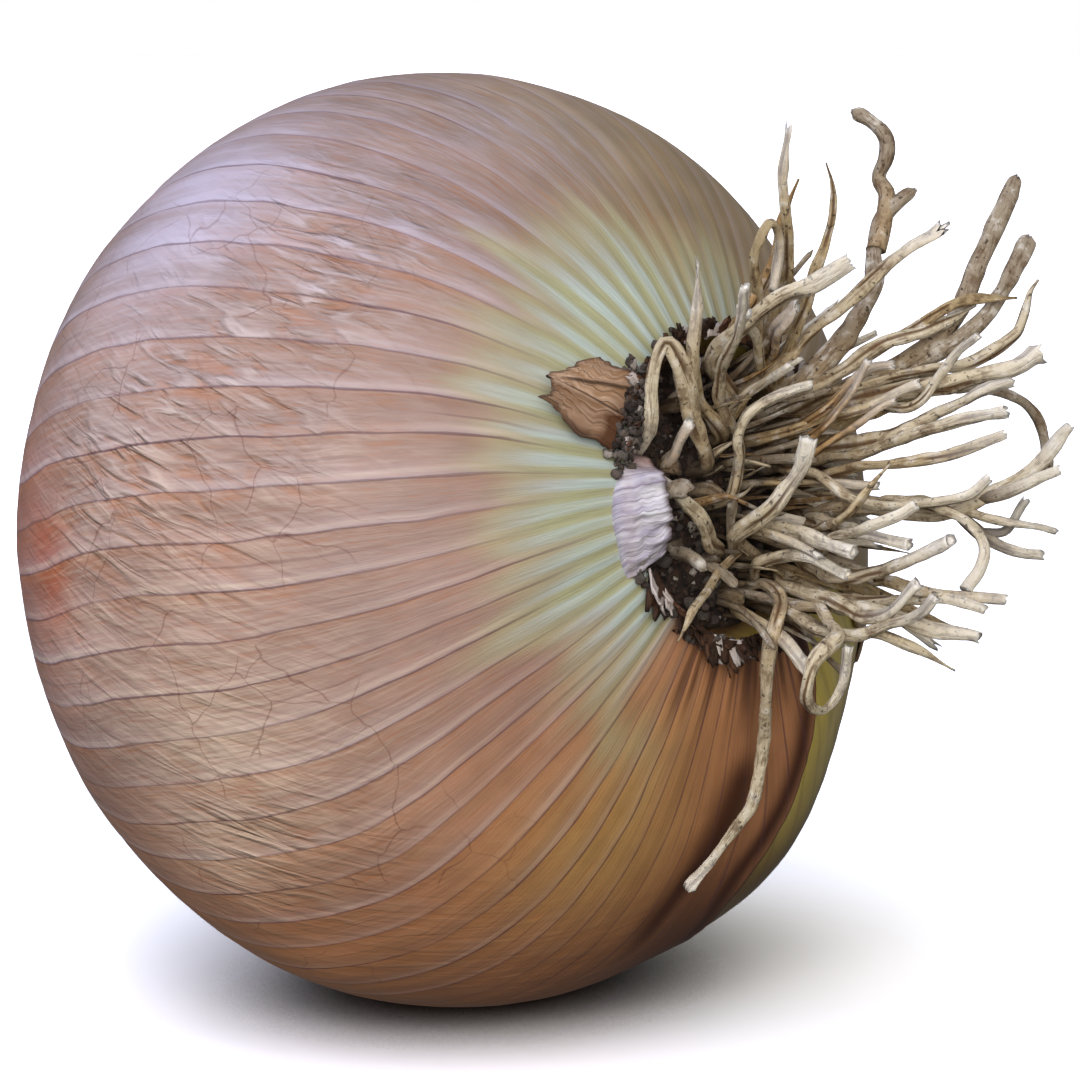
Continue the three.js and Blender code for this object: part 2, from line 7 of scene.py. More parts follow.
import bmesh
import bpy
import numpy as np
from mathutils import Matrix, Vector


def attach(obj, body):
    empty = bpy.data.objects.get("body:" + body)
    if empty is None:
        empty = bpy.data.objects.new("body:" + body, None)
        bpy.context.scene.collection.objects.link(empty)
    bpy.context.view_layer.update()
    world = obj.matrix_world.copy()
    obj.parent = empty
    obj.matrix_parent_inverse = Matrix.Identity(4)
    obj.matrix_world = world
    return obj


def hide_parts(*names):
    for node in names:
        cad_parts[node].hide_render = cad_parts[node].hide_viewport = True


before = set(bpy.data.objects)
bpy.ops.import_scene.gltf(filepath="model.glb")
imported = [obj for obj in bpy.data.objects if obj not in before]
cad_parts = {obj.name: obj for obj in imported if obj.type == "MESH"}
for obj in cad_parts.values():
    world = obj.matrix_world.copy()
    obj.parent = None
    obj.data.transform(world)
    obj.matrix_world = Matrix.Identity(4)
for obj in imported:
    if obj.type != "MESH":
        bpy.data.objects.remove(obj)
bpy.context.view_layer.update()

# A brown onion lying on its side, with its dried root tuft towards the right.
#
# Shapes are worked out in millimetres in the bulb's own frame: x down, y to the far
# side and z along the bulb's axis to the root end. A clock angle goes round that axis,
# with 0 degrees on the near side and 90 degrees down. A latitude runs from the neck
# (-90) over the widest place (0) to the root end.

LOG = logging.getLogger("onion")
MM = 0.001
Socket = bpy.types.NodeSocket
Value = bpy.types.NodeSocket | float
Colour = bpy.types.NodeSocket | str


def linear(code: str) -> tuple[float, float, float, float]:
    """Turns an sRGB hex colour into the linear colour that shaders use.

    Args:
        code: Six hex digits, such as "a98570".

    Returns:
        Linear red, green, blue and an alpha of 1.
    """
    channels = [int(code[i:i + 2], 16) / 255 for i in (0, 2, 4)]
    red, green, blue = [c / 12.92 if c <= 0.04045 else ((c + 0.055) / 1.055) ** 2.4 for c in channels]
    return red, green, blue, 1.0


def smooth(value: np.ndarray, low: float, high: float) -> np.ndarray:
    """Rises smoothly from 0 at low to 1 at high.

    Args:
        value: Numbers to grade.
        low: Where the rise starts.
        high: Where it ends. It may lie below low, for a fall.

    Returns:
        Numbers from 0 to 1.
    """
    share = np.clip((np.asarray(value, dtype=float) - low) / (high - low), 0.0, 1.0)
    return share * share * (3.0 - 2.0 * share)


def bump(value: np.ndarray, middle: float, reach: float) -> np.ndarray:
    """A smooth hump of height 1 at middle that has died out a few reaches away.

    Args:
        value: Numbers to grade.
        middle: Where the hump stands.
        reach: Its half width.

    Returns:
        Numbers from 0 to 1.
    """
    return np.exp(-((np.asarray(value, dtype=float) - middle) / reach) ** 2)


class Grain:
    """Smooth seeded noise with a given size in millimetres."""

    def __init__(self, seed: int) -> None:
        """Keeps the seed that sets this grain apart from others."""
        self.seed = seed

    def _lattice(self, cells: np.ndarray) -> np.ndarray:
        """Repeatable numbers from -1 to 1 at whole places of a lattice."""
        mixed = cells @ np.array([374761393, 668265263, 1442695041]) + self.seed * 1274126177
        mixed = mixed & 0xFFFFFFFF
        mixed = ((mixed ^ (mixed >> 13)) * 1274126177) & 0xFFFFFFFF
        mixed = mixed ^ (mixed >> 16)
        return mixed / 0x7FFFFFFF - 1.0

    def at(self, points: np.ndarray, size: float) -> np.ndarray:
        """Noise at some points.

        Args:
            points: An array whose last axis holds x, y and z.
            size: Length of one swell, in the points' unit.

        Returns:
            Numbers from -1 to 1, one for each point.
        """
        scaled = np.asarray(points, dtype=float) / size
        cell = np.floor(scaled).astype(np.int64)
        share = scaled - cell
        share = share * share * (3.0 - 2.0 * share)
        total = np.zeros(scaled.shape[:-1])
        for corner in np.ndindex(2, 2, 2):
            offset = np.array(corner)
            weight = np.prod(np.where(offset, share, 1.0 - share), axis=-1)
            total += weight * self._lattice(cell + offset)
        return total

    def layered(self, points: np.ndarray, size: float, layers: int) -> np.ndarray:
        """Noise with finer layers added, each half as large and half as strong."""
        total = np.zeros(np.asarray(points).shape[:-1])
        for layer in range(layers):
            total += Grain(self.seed + layer).at(points, size / 2 ** layer) / 2 ** layer
        return total


def flat_coordinates(across: np.ndarray, along: np.ndarray) -> np.ndarray:
    """Joins two coordinates into points for a Grain."""
    across, along = np.broadcast_arrays(across, along)
    return np.stack([across, along, np.zeros_like(across)], axis=-1)


def seeded_draw(seed: int) -> Callable[[], float]:
    """A repeatable stream of numbers from 0 to 1, the same as in the solids' source.

    Args:
        seed: Where the stream starts.

    Returns:
        A function that gives the next number.
    """
    state = seed & 0xFFFFFFFF

    def draw() -> float:
        """The next number."""
        nonlocal state
        state = (state * 1664525 + 1013904223) & 0xFFFFFFFF
        return state / 4294967296

    return draw


@dataclass(frozen=True)
class BulbShape:
    """The bulb's outer curve and how it lies, as in the solids."""

    radius: float = 40.0
    half_length: float = 33.4
    tilt_deg: float = 10.4
    centre_height: float = 38.3
    centre_behind_rest: float = 2.1
    neck_start: float = -65.0
    neck_radius: float = 6.2
    neck_bend_radius: float = 7.5
    neck_end: float = -45.0
    plate_radius: float = 11.0
    plate_plane: float = 30.4
    plate_up: float = 1.6
    plate_near: float = 2.9
    belly: float = 1.9
    belly_clock: float = 108.0

    @property
    def down(self) -> np.ndarray:
        """The bulb frame's x axis in the row frame."""
        tilt = math.radians(self.tilt_deg)
        return np.array([math.sin(tilt), 0.0, -math.cos(tilt)])

    @property
    def axis(self) -> np.ndarray:
        """The bulb frame's z axis, to the root end, in the row frame."""
        tilt = math.radians(self.tilt_deg)
        return np.array([math.cos(tilt), 0.0, math.sin(tilt)])

    @property
    def centre(self) -> np.ndarray:
        """The middle of the bulb in the row frame, in millimetres."""
        return np.array([-self.centre_behind_rest, 0.0, self.centre_height])

    def to_row(self, points: np.ndarray) -> np.ndarray:
        """Turns points of the bulb's frame into the row frame, both in millimetres."""
        return self.centre + points @ np.stack([self.down, [0.0, 1.0, 0.0], self.axis])

    def profile(self, latitude: np.ndarray) -> tuple[np.ndarray, np.ndarray]:
        """The outer curve.

        Args:
            latitude: Degrees, from -90 at the neck's end to 90.

        Returns:
            The radius and the place along the axis.
        """
        angle = np.radians(np.maximum(latitude, self.neck_start))
        radius = self.radius * np.cos(angle)
        along = self.half_length * np.sin(angle)
        start = math.radians(self.neck_start)
        slope = self.half_length * math.cos(start) / (-self.radius * math.sin(start))
        first = (self.radius * math.cos(start), self.half_length * math.sin(start))
        bend = (self.neck_bend_radius, first[1] + slope * (self.neck_bend_radius - first[0]))
        last = (self.neck_radius, self.neck_end)
        share = np.clip((self.neck_start - latitude) / (self.neck_start + 90.0), 0.0, 1.0)
        curve = [(1 - share) ** 2 * first[i] + 2 * share * (1 - share) * bend[i] + share ** 2 * last[i]
                 for i in (0, 1)]
        on_neck = np.asarray(latitude) < self.neck_start
        return np.where(on_neck, curve[0], radius), np.where(on_neck, curve[1], along)

    def point(self, latitude: np.ndarray, clock: np.ndarray, depth: np.ndarray) -> np.ndarray:
        """Points at a depth below the outer curve, flattened where the bulb rests.

        Args:
            latitude: Degrees.
            clock: Degrees.
            depth: Millimetres inward along the curve's normal.

        Returns:
            Points in the bulb's frame, with x, y and z on the last axis.
        """
        latitude, clock, depth = np.broadcast_arrays(latitude, clock, depth)
        from_belly = (clock - self.belly_clock - 14.0 * smooth(latitude, 46.0, 64.0) + 180.0) % 360.0 - 180.0
        over_belly = smooth(latitude, 16.0, 40.0) * smooth(latitude, 78.0, 54.0)
        depth = depth - self.belly * bump(from_belly, 0.0, 23.0) * over_belly
        radius, along = self.profile(latitude)
        ahead = self.profile(np.minimum(latitude + 0.5, 89.9))
        behind = self.profile(np.maximum(latitude - 0.5, -90.0))
        run, rise = ahead[0] - behind[0], ahead[1] - behind[1]
        length = np.hypot(run, rise)
        radius = radius - rise / length * depth
        along = along + run / length * depth
        drawn = smooth(latitude, 20.0, 75.0)
        turn = np.radians(clock)
        points = np.stack([
            radius * np.sin(turn) - self.plate_up * drawn,
            -radius * np.cos(turn) - self.plate_near * drawn,
            along,
        ], axis=-1)
        return self.flattened(points, np.maximum(depth, 0.0))

    def flattened(self, points: np.ndarray, floor: np.ndarray) -> np.ndarray:
        """Lifts points of the bulb's frame to at least a height over the surface."""
        up = np.array([self.down[2], 0.0, self.axis[2]])
        height = self.centre_height + points @ up
        lift = np.maximum(floor - height, 0.0)
        return points + lift[..., None] * up

    def from_plate(self, route: list) -> np.ndarray:
        """Turns points given from the root plate (out, up, far) into the bulb's frame."""
        out, up, far = np.array(route, dtype=float).T
        return np.stack([-up - self.plate_up, far - self.plate_near, self.plate_plane + out], axis=-1)


SHAPE = BulbShape()


def new_piece(name: str, points: np.ndarray, faces: list, marks: dict | None = None) -> bpy.types.Object:
    """Makes a smooth shaded mesh object that moves with the onion.

    Args:
        name: The piece's name.
        points: Points in the bulb's frame, in millimetres.
        faces: Lists of point numbers.
        marks: Numbers for each point that the finish reads, by name.

    Returns:
        The new object.
    """
    mesh = bpy.data.meshes.new(name)
    mesh.from_pydata((SHAPE.to_row(points) * MM).tolist(), [], faces)
    for mark, values in (marks or {}).items():
        layer = mesh.attributes.new(mark, "FLOAT", "POINT")
        layer.data.foreach_set("value", np.asarray(values, dtype=np.float32).ravel())
    mesh.polygons.foreach_set("use_smooth", [True] * len(mesh.polygons))
    mesh.update()
    piece = bpy.data.objects.new(name, mesh)
    bpy.context.scene.collection.objects.link(piece)
    return piece


def grid_faces(rows: int, columns: int, start: int = 0, closed: bool = False) -> list:
    """Four-sided faces over a grid of points, row by row.

    Args:
        rows: Number of point rows.
        columns: Number of points in a row.
        start: Number of the first point.
        closed: True where a row's last point joins its first.

    Returns:
        Lists of four point numbers, facing out where rows run up and columns run round.
    """
    numbers = start + np.arange(rows * columns).reshape(rows, columns)
    if closed:
        numbers = np.concatenate([numbers, numbers[:, :1]], axis=1)
    corners = [numbers[:-1, :-1], numbers[:-1, 1:], numbers[1:, 1:], numbers[1:, :-1]]
    return np.stack(corners, axis=-1).reshape(-1, 4).tolist()


def add(tree: bpy.types.NodeTree, kind: str, settings: dict | None = None,
        links: dict | None = None) -> bpy.types.Node:
    """Adds a node with its settings and links.

    Args:
        tree: The material's node tree.
        kind: The node's type name, without "ShaderNode".
        settings: Values by property name, or by input name or number.
        links: Output sockets by the input name or number that they feed.

    Returns:
        The node.
    """
    node = tree.nodes.new("ShaderNode" + kind)
    for key, value in (settings or {}).items():
        if isinstance(key, str) and key in node.bl_rna.properties:
            setattr(node, key, value)
        else:
            node.inputs[key].default_value = value
    for key, socket in (links or {}).items():
        tree.links.new(socket, node.inputs[key])
    return node


class Shader:
    """A material's node tree, with the few sums that every finish here needs."""

    def __init__(self, name: str) -> None:
        """Starts an empty material with an output and a principled surface.

        Args:
            name: The material's name.
        """
        self.material = bpy.data.materials.new(name)
        self.material.use_nodes = True
        self.tree = self.material.node_tree
        self.tree.nodes.clear()
        self.surface = add(self.tree, "BsdfPrincipled")
        add(self.tree, "OutputMaterial", links={"Surface": self.surface.outputs[0]})

    def mark(self, name: str) -> Socket:
        """The value of a mesh mark at the shaded point."""
        return add(self.tree, "Attribute", {"attribute_name": name}).outputs["Fac"]

    def math(self, operation: str, first: Value, second: Value = 0.0) -> Socket:
        """One sum of two sockets or numbers.

        Args:
            operation: The Math node's operation.
            first: A socket or a number.
            second: A socket or a number.

        Returns:
            The result's socket.
        """
        node = add(self.tree, "Math", {"operation": operation})
        for index, term in enumerate((first, second)):
            if isinstance(term, bpy.types.NodeSocket):
                self.tree.links.new(term, node.inputs[index])
            else:
                node.inputs[index].default_value = term
        return node.outputs[0]

    def graded(self, value: Socket, low: float, high: float, bottom: float = 0.0, top: float = 1.0) -> Socket:
        """Maps a value smoothly from a range onto another.

        Args:
            value: A socket.
            low: The value that gives bottom.
            high: The value that gives top.
            bottom: The result at low.
            top: The result at high.

        Returns:
            The result's socket.
        """
        settings = {"interpolation_type": "SMOOTHSTEP", 1: low, 2: high, 3: bottom, 4: top}
        return add(self.tree, "MapRange", settings, {0: value}).outputs[0]

    def mixed(self, share: Value, below: Colour, above: Colour, blend: str = "MIX") -> Socket:
        """Mixes two colours.

        Args:
            share: A socket or a number from 0 to 1.
            below: A colour socket or an sRGB hex code.
            above: A colour socket or an sRGB hex code.
            blend: The Mix node's blend type.

        Returns:
            The colour's socket.
        """
        node = add(self.tree, "Mix", {"data_type": "RGBA", "blend_type": blend})
        for index, term in ((0, share), (6, below), (7, above)):
            if isinstance(term, bpy.types.NodeSocket):
                self.tree.links.new(term, node.inputs[index])
            else:
                node.inputs[index].default_value = linear(term) if isinstance(term, str) else term
        return node.outputs[2]

    def scaled(self, colour: Socket, factor: Value) -> Socket:
        """A colour times a factor, which is a socket or a number.

        Args:
            colour: A colour socket.
            factor: A socket or a number.

        Returns:
            The colour's socket.
        """
        if not isinstance(factor, bpy.types.NodeSocket):
            factor = (factor, factor, factor, 1.0)
        return self.mixed(1.0, colour, factor, "MULTIPLY")

    def noise(self, vector: Socket, size: float, detail: float = 2.0, roughness: float = 0.5,
              distortion: float = 0.0) -> Socket:
        """Noise at a vector, with swells of a given size in the vector's own unit.

        Args:
            vector: The socket of the places to look up.
            size: One swell, in the vector's own unit.
            detail: How many finer layers lie on it.
            roughness: How strong those layers are.
            distortion: How far it is bent.

        Returns:
            The noise's socket, 0 to 1.
        """
        settings = {"Scale": 1.0 / size, "Detail": detail, "Roughness": roughness, "Distortion": distortion}
        return add(self.tree, "TexNoise", settings, {"Vector": vector}).outputs["Fac"]

    def place(self) -> Socket:
        """The shaded point in the row frame, in metres."""
        return add(self.tree, "TexCoord").outputs["Object"]

    def joined(self, first: Value, second: Value, third: Value = 0.0) -> Socket:
        """Three sockets or numbers as one vector.

        Args:
            first: A socket or a number for x.
            second: The same for y.
            third: The same for z.

        Returns:
            The vector's socket.
        """
        node = add(self.tree, "CombineXYZ")
        for index, term in enumerate((first, second, third)):
            if isinstance(term, bpy.types.NodeSocket):
                self.tree.links.new(term, node.inputs[index])
            else:
                node.inputs[index].default_value = term
        return node.outputs[0]

    def bumped(self, height: Socket, distance: float, strength: float = 1.0,
               under: Socket | None = None) -> Socket:
        """A normal raised by a height.

        Args:
            height: A socket, 0 to 1.
            distance: What a height of 1 means, in metres.
            strength: How much of it shows.
            under: The normal that it is laid on, if any.

        Returns:
            The normal's socket.
        """
        links = {"Height": height}
        if under is not None:
            links["Normal"] = under
        return add(self.tree, "Bump", {"Distance": distance, "Strength": strength}, links).outputs[0]

    def finish(self, colour: Colour, roughness: Value, normal: Socket | None = None,
               **constants: float) -> bpy.types.Material:
        """Feeds the surface.

        Args:
            colour: A colour socket or an sRGB hex code.
            roughness: A socket or a number.
            normal: A normal socket, if any.
            constants: Values for the surface's other inputs, with _ for spaces.

        Returns:
            The finished material.
        """
        for name, term in (("Base Color", colour), ("Roughness", roughness)):
            if isinstance(term, bpy.types.NodeSocket):
                self.tree.links.new(term, self.surface.inputs[name])
            else:
                self.surface.inputs[name].default_value = linear(term) if isinstance(term, str) else term
        if normal is not None:
            self.tree.links.new(normal, self.surface.inputs["Normal"])
        for name, value in constants.items():
            self.surface.inputs[name.replace("_", " ")].default_value = value
        return self.material


@dataclass(frozen=True)
class VeinPattern:
    """How the veins of a leaf base are spread round the bulb.

    About 64 veins go round. They lie 6.2 degrees apart on the upper near side and
    5.2 degrees apart on the lower near side.
    """

    mean_pitch_deg: float = 5.75
    uneven_deg: float = 0.6
    first_vein_clock: float = 1.3
    waver: float = 0.12

    def phase(self, clock: np.ndarray, latitude: np.ndarray, seed: int) -> np.ndarray:
        """Counts veins round the bulb, with a whole number on each vein.

        Args:
            clock: Degrees round the bulb's axis.
            latitude: Degrees, from -90 at the neck's end to 90.
            seed: Sets how the veins wander.

        Returns:
            The count at each place.
        """
        def count(angle: np.ndarray) -> np.ndarray:
            """Veins passed up to a clock angle."""
            swing = self.uneven_deg / self.mean_pitch_deg ** 2 * math.degrees(0.5)
            return angle / self.mean_pitch_deg - swing * np.cos(np.radians(2.0 * angle))

        straight = count(clock) - count(np.array(self.first_vein_clock))
        grain = Grain(seed)
        slow = grain.at(flat_coordinates(clock * 1.2, latitude), 24.0)
        quick = Grain(seed + 1).at(flat_coordinates(clock * 1.6, latitude), 5.0)
        return straight + self.waver * (1.5 * slow + 0.28 * quick)


VEINS = VeinPattern()


@dataclass(frozen=True)
class PaperySkin:
    """The dead outer leaf base: thin, dry, translucent paper with a satin gleam."""

    tan: str = "96786c"
    upper_tan: str = "8d7361"
    warm: str = "ae774d"
    # Darker brown low down: partly the skin's own colour, partly painted shade.
    dark_brown_and_shade: str = "6e432a"
    golden: str = "b08d50"
    olive: str = "8f7d5c"
    blush: str = "a04520"
    # Orange of the fibres, and of the painted warm shade below the veins and in each crinkle groove.
    ember: str = "a4632f"
    rib_light: str = "b0bcb4"
    rib_groove: str = "a2a17c"
    yellow_green: str = "a6a07a"
    vein: str = "55363a"
    cool_vein: str = "67505a"
    hairline: str = "6a3f34"
    # Dark brown of the streaks and the stained patch, and of the painted shadow along the free edge.
    stain_and_shadow: str = "320f02"
    # Colours of the painted highlights, sheen and window reflection.
    lilac_highlight: str = "c2bbd0"
    cream: str = "d8c2aa"
    vein_light_and_shade: str = "b9a8ae"
    mesh_m: float = 0.0066

    def material(self) -> bpy.types.Material:
        """Builds the finish from the marks of the skin's mesh.

        Returns:
            The finished material.
        """
        s = Shader("dry papery onion skin")
        phase, ring, pale = (s.mark(name) for name in ("phase", "ring", "pale"))
        along, vein_share, crinkled = s.mark("along"), s.mark("vein"), s.mark("crinkle")
        place = s.place()
        fibre_place = s.joined(phase, s.math("MULTIPLY", along, 0.02))

        # Broad colour: tan, cooler above, orange brown below, golden beside the roots, and darker brown low down,
        # partly the skin's own colour and partly painted shade.
        colour = s.mixed(s.mark("upper"), self.tan, self.upper_tan)
        colour = s.mixed(s.mark("warm"), colour, self.warm)
        colour = s.mixed(s.mark("olive"), colour, self.olive)
        colour = s.mixed(s.mark("golden"), colour, self.golden)
        colour = s.mixed(s.mark("dark_brown_and_shade"), colour, self.dark_brown_and_shade)
        colour = s.mixed(s.mark("blush"), colour, self.blush)

        # Cloudy patches of about 9 mm, and fibres 0.35 mm wide that run with the veins.
        cloud = s.noise(place, 0.009, 3.0, 0.6)
        colour = s.scaled(colour, s.graded(cloud, 0.3, 0.7, 0.86, 1.12))
        fibres = s.noise(fibre_place, 0.085, 3.0, 0.65)
        colour = s.mixed(s.graded(fibres, 0.48, 0.30, 0.0, 0.35), colour, self.ember)
        bands = s.noise(fibre_place, 0.5, 2.0, 0.5)
        colour = s.scaled(colour, s.graded(bands, 0.3, 0.7, 0.88, 1.12))

        # Between two veins, painted warm shade lies just below the upper vein and a painted cool highlight just
        # above the lower one.
        strip, height_in_strip = s.math("FLOOR", phase), s.math("FRACT", phase)
        unlike = s.noise(s.joined(s.math("MULTIPLY", strip, 1.7), s.math("MULTIPLY", along, 0.035)), 1.0, 2.0)
        vein_highlight_colour = s.mixed(s.mark("upper"), self.vein_light_and_shade, self.lilac_highlight)
        vein_light_and_shade = s.math("POWER", height_in_strip, 3.0)
        vein_light_and_shade = s.math("MULTIPLY", vein_light_and_shade, s.mark("vein_light_and_shade"))
        vein_light_and_shade = s.math("MULTIPLY", vein_light_and_shade, s.graded(unlike, 0.3, 0.68, 0.1, 0.65))
        colour = s.mixed(vein_light_and_shade, colour, vein_highlight_colour)
        shade_below_vein_share = s.graded(unlike, 0.7, 0.3, 0.05, 0.42)
        under = s.math("MULTIPLY", s.graded(height_in_strip, 0.42, 0.0), shade_below_vein_share)
        colour = s.mixed(s.math("MULTIPLY", under, s.mark("vein_light_and_shade")), colour, self.ember)

        # A painted cream highlight on the lower near side, and a painted lilac reflection of the window on the
        # upper left and beside the root end.
        glow = s.math("MULTIPLY", s.mark("glow"), s.graded(fibres, 0.3, 0.6, 0.2, 0.6))
        colour = s.mixed(glow, colour, self.cream)
        reflection_share = s.math("MULTIPLY", s.mark("painted_window_reflection"), s.graded(bands, 0.3, 0.6, 0.35, 0.8))
        colour = s.mixed(reflection_share, colour, self.lilac_highlight)

        # Slanted crinkles 1 mm apart, which stop at the veins, with painted warm shade in each groove and a
        # painted pale, cool highlight on each crest.
        shift = s.math("MULTIPLY", strip, 2.3)
        stretched = s.math("MULTIPLY", s.mark("slant_along"), 0.2)
        crinkle_place = s.joined(s.mark("slant_across"), stretched, shift)
        crinkle = s.noise(crinkle_place, 1.15, 2.0, 0.5, 0.8)
        groove = s.math("MULTIPLY", s.graded(crinkle, 0.50, 0.32), crinkled)
        crinkle_groove_shade = s.math("MULTIPLY", groove, s.graded(s.mark("upper"), 0.0, 1.0, 0.7, 0.22))
        colour = s.mixed(crinkle_groove_shade, colour, self.ember)
        crest_highlight = s.math("MULTIPLY", s.graded(crinkle, 0.50, 0.72), crinkled)
        gleam_colour = s.mixed(s.mark("upper"), self.cream, self.lilac_highlight)
        colour = s.mixed(s.math("MULTIPLY", crest_highlight, 0.62), colour, gleam_colour)
        # Painted sheen: pale streaks along the fibres over the middle and upper parts of the near side.
        sheen_streaks = s.math("ADD", 0.10, s.math("MULTIPLY", s.graded(fibres, 0.42, 0.72), 0.28))
        colour = s.mixed(s.math("MULTIPLY", sheen_streaks, s.mark("gloss")), colour, gleam_colour)

        # Pale zone beside the plate: light ribs between the veins, yellow green in the grooves.
        colour = s.mixed(s.mark("yellow"), colour, self.yellow_green)
        wave = s.math("COSINE", s.math("MULTIPLY", phase, 2.0 * math.pi))
        rib = s.math("MULTIPLY", s.graded(wave, 0.7, -0.8), s.graded(bands, 0.25, 0.6, 0.45, 1.0))
        ribbed = s.mixed(rib, self.rib_groove, self.rib_light)
        colour = s.mixed(pale, colour, s.scaled(ribbed, s.graded(fibres, 0.3, 0.7, 0.88, 1.08)))

        # Dark streaks beside the root plate, a blurred stained patch below it, and a painted shadow along the free
        # edge with painted shade beside it.
        streak_noise = s.noise(s.joined(phase, s.math("MULTIPLY", along, 0.03)), 0.7, 3.0, 0.6)
        streaks = s.math("MULTIPLY", s.mark("streak"), s.graded(streak_noise, 0.40, 0.62))
        colour = s.mixed(s.math("MULTIPLY", streaks, 0.8), colour, self.stain_and_shadow)
        colour = s.mixed(s.mark("stain_and_shadow"), colour, self.stain_and_shadow)

        # A net of reddish hairlines 0.1 mm wide, with meshes of about 7 mm.
        drift = add(s.tree, "TexNoise", {"Scale": 240.0, "Detail": 2.0}, {"Vector": place}).outputs["Color"]
        bent = add(s.tree, "VectorMath", {"operation": "MULTIPLY_ADD", 1: (0.003, 0.003, 0.003)}, {
            0: drift,
            2: place,
        }).outputs[0]
        meshes = {"feature": "DISTANCE_TO_EDGE", "Scale": 1 / self.mesh_m}
        net = add(s.tree, "TexVoronoi", meshes, {"Vector": bent}).outputs[0]
        hair = s.graded(net, 0.015, 0.0)
        gate = s.graded(s.noise(place, 0.008, 1.0), 0.47, 0.56)
        hair = s.math("MULTIPLY", s.math("MULTIPLY", hair, gate), s.mark("net"))
        colour = s.mixed(s.math("MULTIPLY", hair, 0.5), colour, self.hairline)

        # Veins 0.3 mm wide, each with a painted highlight just above it, and fainter ones between them.
        turn = s.math("SUBTRACT", s.math("FRACT", s.math("ADD", phase, 0.5)), 0.5)
        pitch_mm = math.radians(VEINS.mean_pitch_deg) * SHAPE.radius
        offset = s.math("MULTIPLY", s.math("MULTIPLY", turn, ring), pitch_mm)
        off_line = s.math("ABSOLUTE", offset)
        beads = s.noise(s.joined(phase, s.math("MULTIPLY", along, 0.11)), 0.5, 3.0, 0.6)
        half_width = s.graded(beads, 0.3, 0.7, 0.08, 0.19)
        line = s.graded(s.math("DIVIDE", off_line, half_width), 1.0, 0.35)
        line = s.math("MULTIPLY", line, vein_share)
        edge = s.graded(s.math("ABSOLUTE", s.math("ADD", offset, 0.42)), 0.34, 0.0)
        edge = s.math("MULTIPLY", edge, s.math("MULTIPLY", vein_share, s.graded(unlike, 0.3, 0.68, 0.0, 0.6)))
        edge = s.math("MULTIPLY", edge, s.mark("vein_light_and_shade"))
        colour = s.mixed(edge, colour, gleam_colour)
        vein_colour = s.mixed(s.mark("upper"), self.vein, self.cool_vein)
        colour = s.mixed(s.math("MULTIPLY", line, 0.8), colour, vein_colour)
        middle = s.math("SUBTRACT", s.math("FRACT", phase), 0.5)
        off_middle = s.math("ABSOLUTE", s.math("MULTIPLY", s.math("MULTIPLY", middle, ring), pitch_mm))
        faint = s.math("MULTIPLY", s.graded(off_middle, 0.16, 0.03), s.graded(bands, 0.50, 0.62, 0.0, 0.45))
        colour = s.mixed(s.math("MULTIPLY", faint, vein_share), colour, vein_colour)

        # The paper's own fine relief: fibres, crinkles and raised veins.
        normal = s.bumped(fibres, 0.00010, 0.6)
        normal = s.bumped(s.math("MULTIPLY", crinkle, crinkled), 0.0012, 1.0, normal)
        roughness = s.graded(cloud, 0.2, 0.8, 0.42, 0.56)
        return s.finish(
            colour, roughness, normal, IOR=1.46, Specular_IOR_Level=0.33, 
        )


@dataclass(frozen=True)
class FleshScale:
    """The next leaf base in: still moist, smooth and faintly waxy, olive yellow."""

    olive: str = "b8a24e"
    yellow: str = "c9b55c"
    brown: str = "6d4a2c"
    vein: str = "5c4522"
    dry: str = "a5825c"

    def material(self) -> bpy.types.Material:
        """Builds the finish from the marks of the bulb's mesh.

        Returns:
            The finished material.
        """
        s = Shader("moist inner onion scale")
        phase, ring, along = s.mark("phase"), s.mark("ring"), s.mark("along")
        place = s.place()
        fibre_place = s.joined(phase, s.math("MULTIPLY", along, 0.02))
        fibres = s.noise(fibre_place, 0.12, 3.0, 0.6)
        cloud = s.noise(place, 0.008, 3.0)
        colour = s.mixed(s.graded(cloud, 0.35, 0.65), self.olive, self.yellow)
        colour = s.mixed(s.graded(fibres, 0.5, 0.8, 0.0, 0.35), colour, self.brown)
        turn = s.math("SUBTRACT", s.math("FRACT", s.math("ADD", phase, 0.5)), 0.5)
        pitch_mm = math.radians(VEINS.mean_pitch_deg) * SHAPE.radius
        off_line = s.math("ABSOLUTE", s.math("MULTIPLY", s.math("MULTIPLY", turn, ring), pitch_mm))
        line = s.graded(off_line, 0.5, 0.05)
        colour = s.mixed(s.math("MULTIPLY", line, 0.22), colour, self.vein)
        # Darker brown away from the root end, partly the scale's own drying colour and partly painted shade.
        colour = s.mixed(s.mark("brown"), colour, "533720")
        colour = s.mixed(s.mark("dry"), colour, s.mixed(s.graded(fibres, 0.3, 0.7), "7d5a3c", self.dry))
        normal = s.bumped(fibres, 0.00006, 0.5)
        normal = s.bumped(s.graded(off_line, 0.9, 0.1), 0.0001, 0.3, normal)
        roughness = s.graded(s.mark("dry"), 0.0, 1.0, 0.36, 0.7)
        return s.finish(colour, roughness, normal, IOR=1.42, Specular_IOR_Level=0.25)


